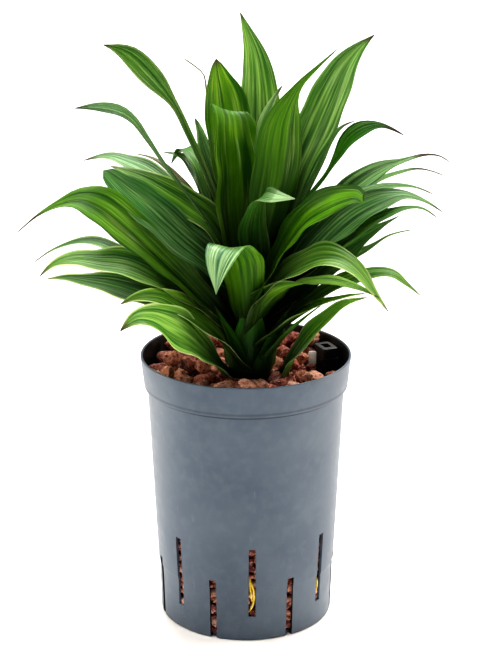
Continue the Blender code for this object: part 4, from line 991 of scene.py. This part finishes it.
def make_leaves(leaf):
    """All the blades, in one piece for each part of the plant."""
    groups = {"low_leaves": [], "middle_leaves": [], "crown_leaves": [], "far_leaves": []}
    for number, row in enumerate(leaf_rows()):
        name = row[0]
        root = row[1][0].z
        group = "far_leaves" if name.startswith(("back", "far")) else "crown_leaves"
        if group == "crown_leaves" and root < 235 * MM:
            group = "low_leaves" if root < 205 * MM else "middle_leaves"
        groups[group].append(leaf_parts(number + 1, *row))
    for name, leaves in groups.items():
        verts, faces, places, edges, kinds = [], [], [], [], []
        start = 0
        for leaf_verts, leaf_faces, leaf_place, leaf_edge, leaf_kind in leaves:
            verts.append(leaf_verts)
            faces += [tuple(start + index for index in face) for face in leaf_faces]
            places.append(leaf_place)
            edges.append(leaf_edge)
            kinds.append(leaf_kind)
            start += len(leaf_verts)
        mesh = bpy.data.meshes.new(name)
        mesh.from_pydata(np.clip(np.concatenate(verts), *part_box("leafy_cane")).tolist(), [], faces)
        for key, kind, field, values in (("blade_place", "FLOAT_VECTOR", "vector", places),
                                         ("blade_edge", "FLOAT_VECTOR", "vector", edges),
                                         ("leaf_kind", "FLOAT_VECTOR", "vector", kinds)):
            layer = mesh.attributes.new(key, kind, "POINT")
            layer.data.foreach_set(field, np.concatenate(values).astype(np.float32).ravel())
        mesh.shade_smooth()
        mesh.set_sharp_from_angle(angle=math.radians(50))
        add_piece(name, mesh, (leaf,), "leafy_cane")


def make_cane(bark):
    profile = [(0, CANE_TOP), (CANE_RADIUS * 0.3, CANE_TOP - 2 * MM), (CANE_RADIUS * 0.8, CANE_TOP - 50 * MM)]
    profile += [(CANE_RADIUS * (0.93 + 0.05 * (step % 2)), 236 * MM - step * 3 * MM) for step in range(24)]
    profile += [(CANE_RADIUS * 0.9, CANE_FOOT), (0, CANE_FOOT)]
    bm = turned(profile, 32)
    bmesh.ops.translate(bm, vec=(CANE_X, CANE_Y, 0), verts=bm.verts)
    return add_piece("cane", finish_mesh(bm, "cane", 60), (bark,), "leafy_cane")


def make_roots(root):
    """Roots that have found their way to the water slots."""
    curve = bpy.data.curves.new("roots", "CURVE")
    curve.dimensions = "3D"
    curve.bevel_depth = 0.8 * MM
    curve.bevel_resolution = 3
    curve.resolution_u = 8
    front = -math.pi / 2 + UPPER_SLOT_TURN
    runs = ((front, ((-3, 20, 4), (-1, 24, 0.6), (1.2, 30, -0.2), (1.4, 37, -0.2), (0, 43, 0.2), (-3, 49, 4))),
            (front, ((2, 28, 4), (0.2, 31, 0.4), (-0.8, 38, 0.2), (-1.6, 45, 0.6), (-1, 50, 4))),
            (front + math.tau / SLOTS_A_ROW, ((-3, 22, 4), (-0.6, 27, 0.4), (1, 33, 0.2), (3, 38, 4))))
    for turn, points in runs:
        spline = curve.splines.new("BEZIER")
        spline.bezier_points.add(len(points) - 1)
        for bezier, (aside, height, depth) in zip(spline.bezier_points, points):
            distance = inner_radius(height * MM) - depth * MM
            way = turn + aside * MM / distance
            bezier.co = (distance * math.cos(way), distance * math.sin(way), height * MM)
            bezier.handle_left_type = "AUTO"
            bezier.handle_right_type = "AUTO"
    scratch = bpy.data.objects.new("roots", curve)
    bpy.context.scene.collection.objects.link(scratch)
    mesh = bpy.data.meshes.new_from_object(scratch.evaluated_get(bpy.context.evaluated_depsgraph_get()))
    bpy.data.objects.remove(scratch, do_unlink=True)
    mesh.materials.clear()
    mesh.shade_smooth()
    return add_piece("roots", mesh, (root,), None)


def make_floor():
    bm = bmesh.new()
    bmesh.ops.create_grid(bm, x_segments=1, y_segments=1, size=8)
    floor = bpy.data.objects.new("floor", finish_mesh(bm, "floor"))
    bpy.context.scene.collection.objects.link(floor)
    floor.data.materials.append(pale_floor())


def add_light(name, kind, place, aim, power, colour="#ffffff"):
    light = bpy.data.lights.new(name, kind)
    light.energy = power
    light.color = linear(colour)[:3]
    item = bpy.data.objects.new(name, light)
    item.location = place
    item.rotation_euler = (Vector(aim) - Vector(place)).to_track_quat("-Z", "Y").to_euler()
    item.visible_camera = False
    bpy.context.scene.collection.objects.link(item)
    return light


def add_softbox(name, place, aim, size, power, colour="#ffffff"):
    light = add_light(name, "AREA", place, aim, power, colour)
    light.shape = "RECTANGLE"
    light.size, light.size_y = size


def light_stage():
    """A white tent lit from behind and above, with a softbox at each side of the pot and a weak one in front."""
    bpy.context.scene.view_settings.view_transform = "Standard"
    bpy.context.scene.view_settings.look = "High Contrast"
    world = bpy.data.worlds.new("studio")
    world.use_nodes = True
    background = world.node_tree.nodes["Background"]
    background.inputs["Color"].default_value = linear("#f6f8fa")
    background.inputs["Strength"].default_value = 0.16
    bpy.context.scene.world = world
    middle = (0, 0, 0.2)
    tent = add_light("tent_top", "SUN", (0.25, 0.9, 1.5), (0, 0, 0.2), 4.2)
    tent.angle = math.radians(50)
    add_softbox("overhead", (-0.2, -0.35, 1.5), (0, 0, 0.3), (0.7, 0.5), 10)
    add_softbox("left", (-1.1, 0.15, 0.6), middle, (0.35, 1.1), 9.5, "#ffeedc")
    add_softbox("right", (1.1, 0.15, 0.6), middle, (0.35, 1.1), 11, "#ffead6")
    add_softbox("front", (-0.4, -1.8, 0.9), middle, (0.5, 0.5), 3)


def make_camera():
    camera = bpy.data.cameras.new("camera")
    camera.sensor_width = CAMERA_SENSOR
    camera.lens = FOCAL_PIXELS * CAMERA_SENSOR / IMAGE_HEIGHT
    camera.clip_start = 0.05
    item = bpy.data.objects.new("camera", camera)
    away = Vector((0, -math.cos(VIEW_TILT), math.sin(VIEW_TILT)))
    item.location = Vector((CAMERA_ASIDE, 0, VIEW_HEIGHT)) + away * VIEW_DISTANCE
    item.rotation_euler = (math.pi / 2 - VIEW_TILT, 0, 0)
    bpy.context.scene.collection.objects.link(item)
    bpy.context.scene.camera = item


def main():
    black = black_polypropylene()
    make_pot(moulded_polypropylene(), black)
    make_granules(fired_clay())
    make_holder(black)
    make_tab(white_polypropylene())
    make_cane(cane_bark())
    make_leaves(living_leaf())
    make_roots(living_root())
    make_floor()
    light_stage()
    make_camera()


main()
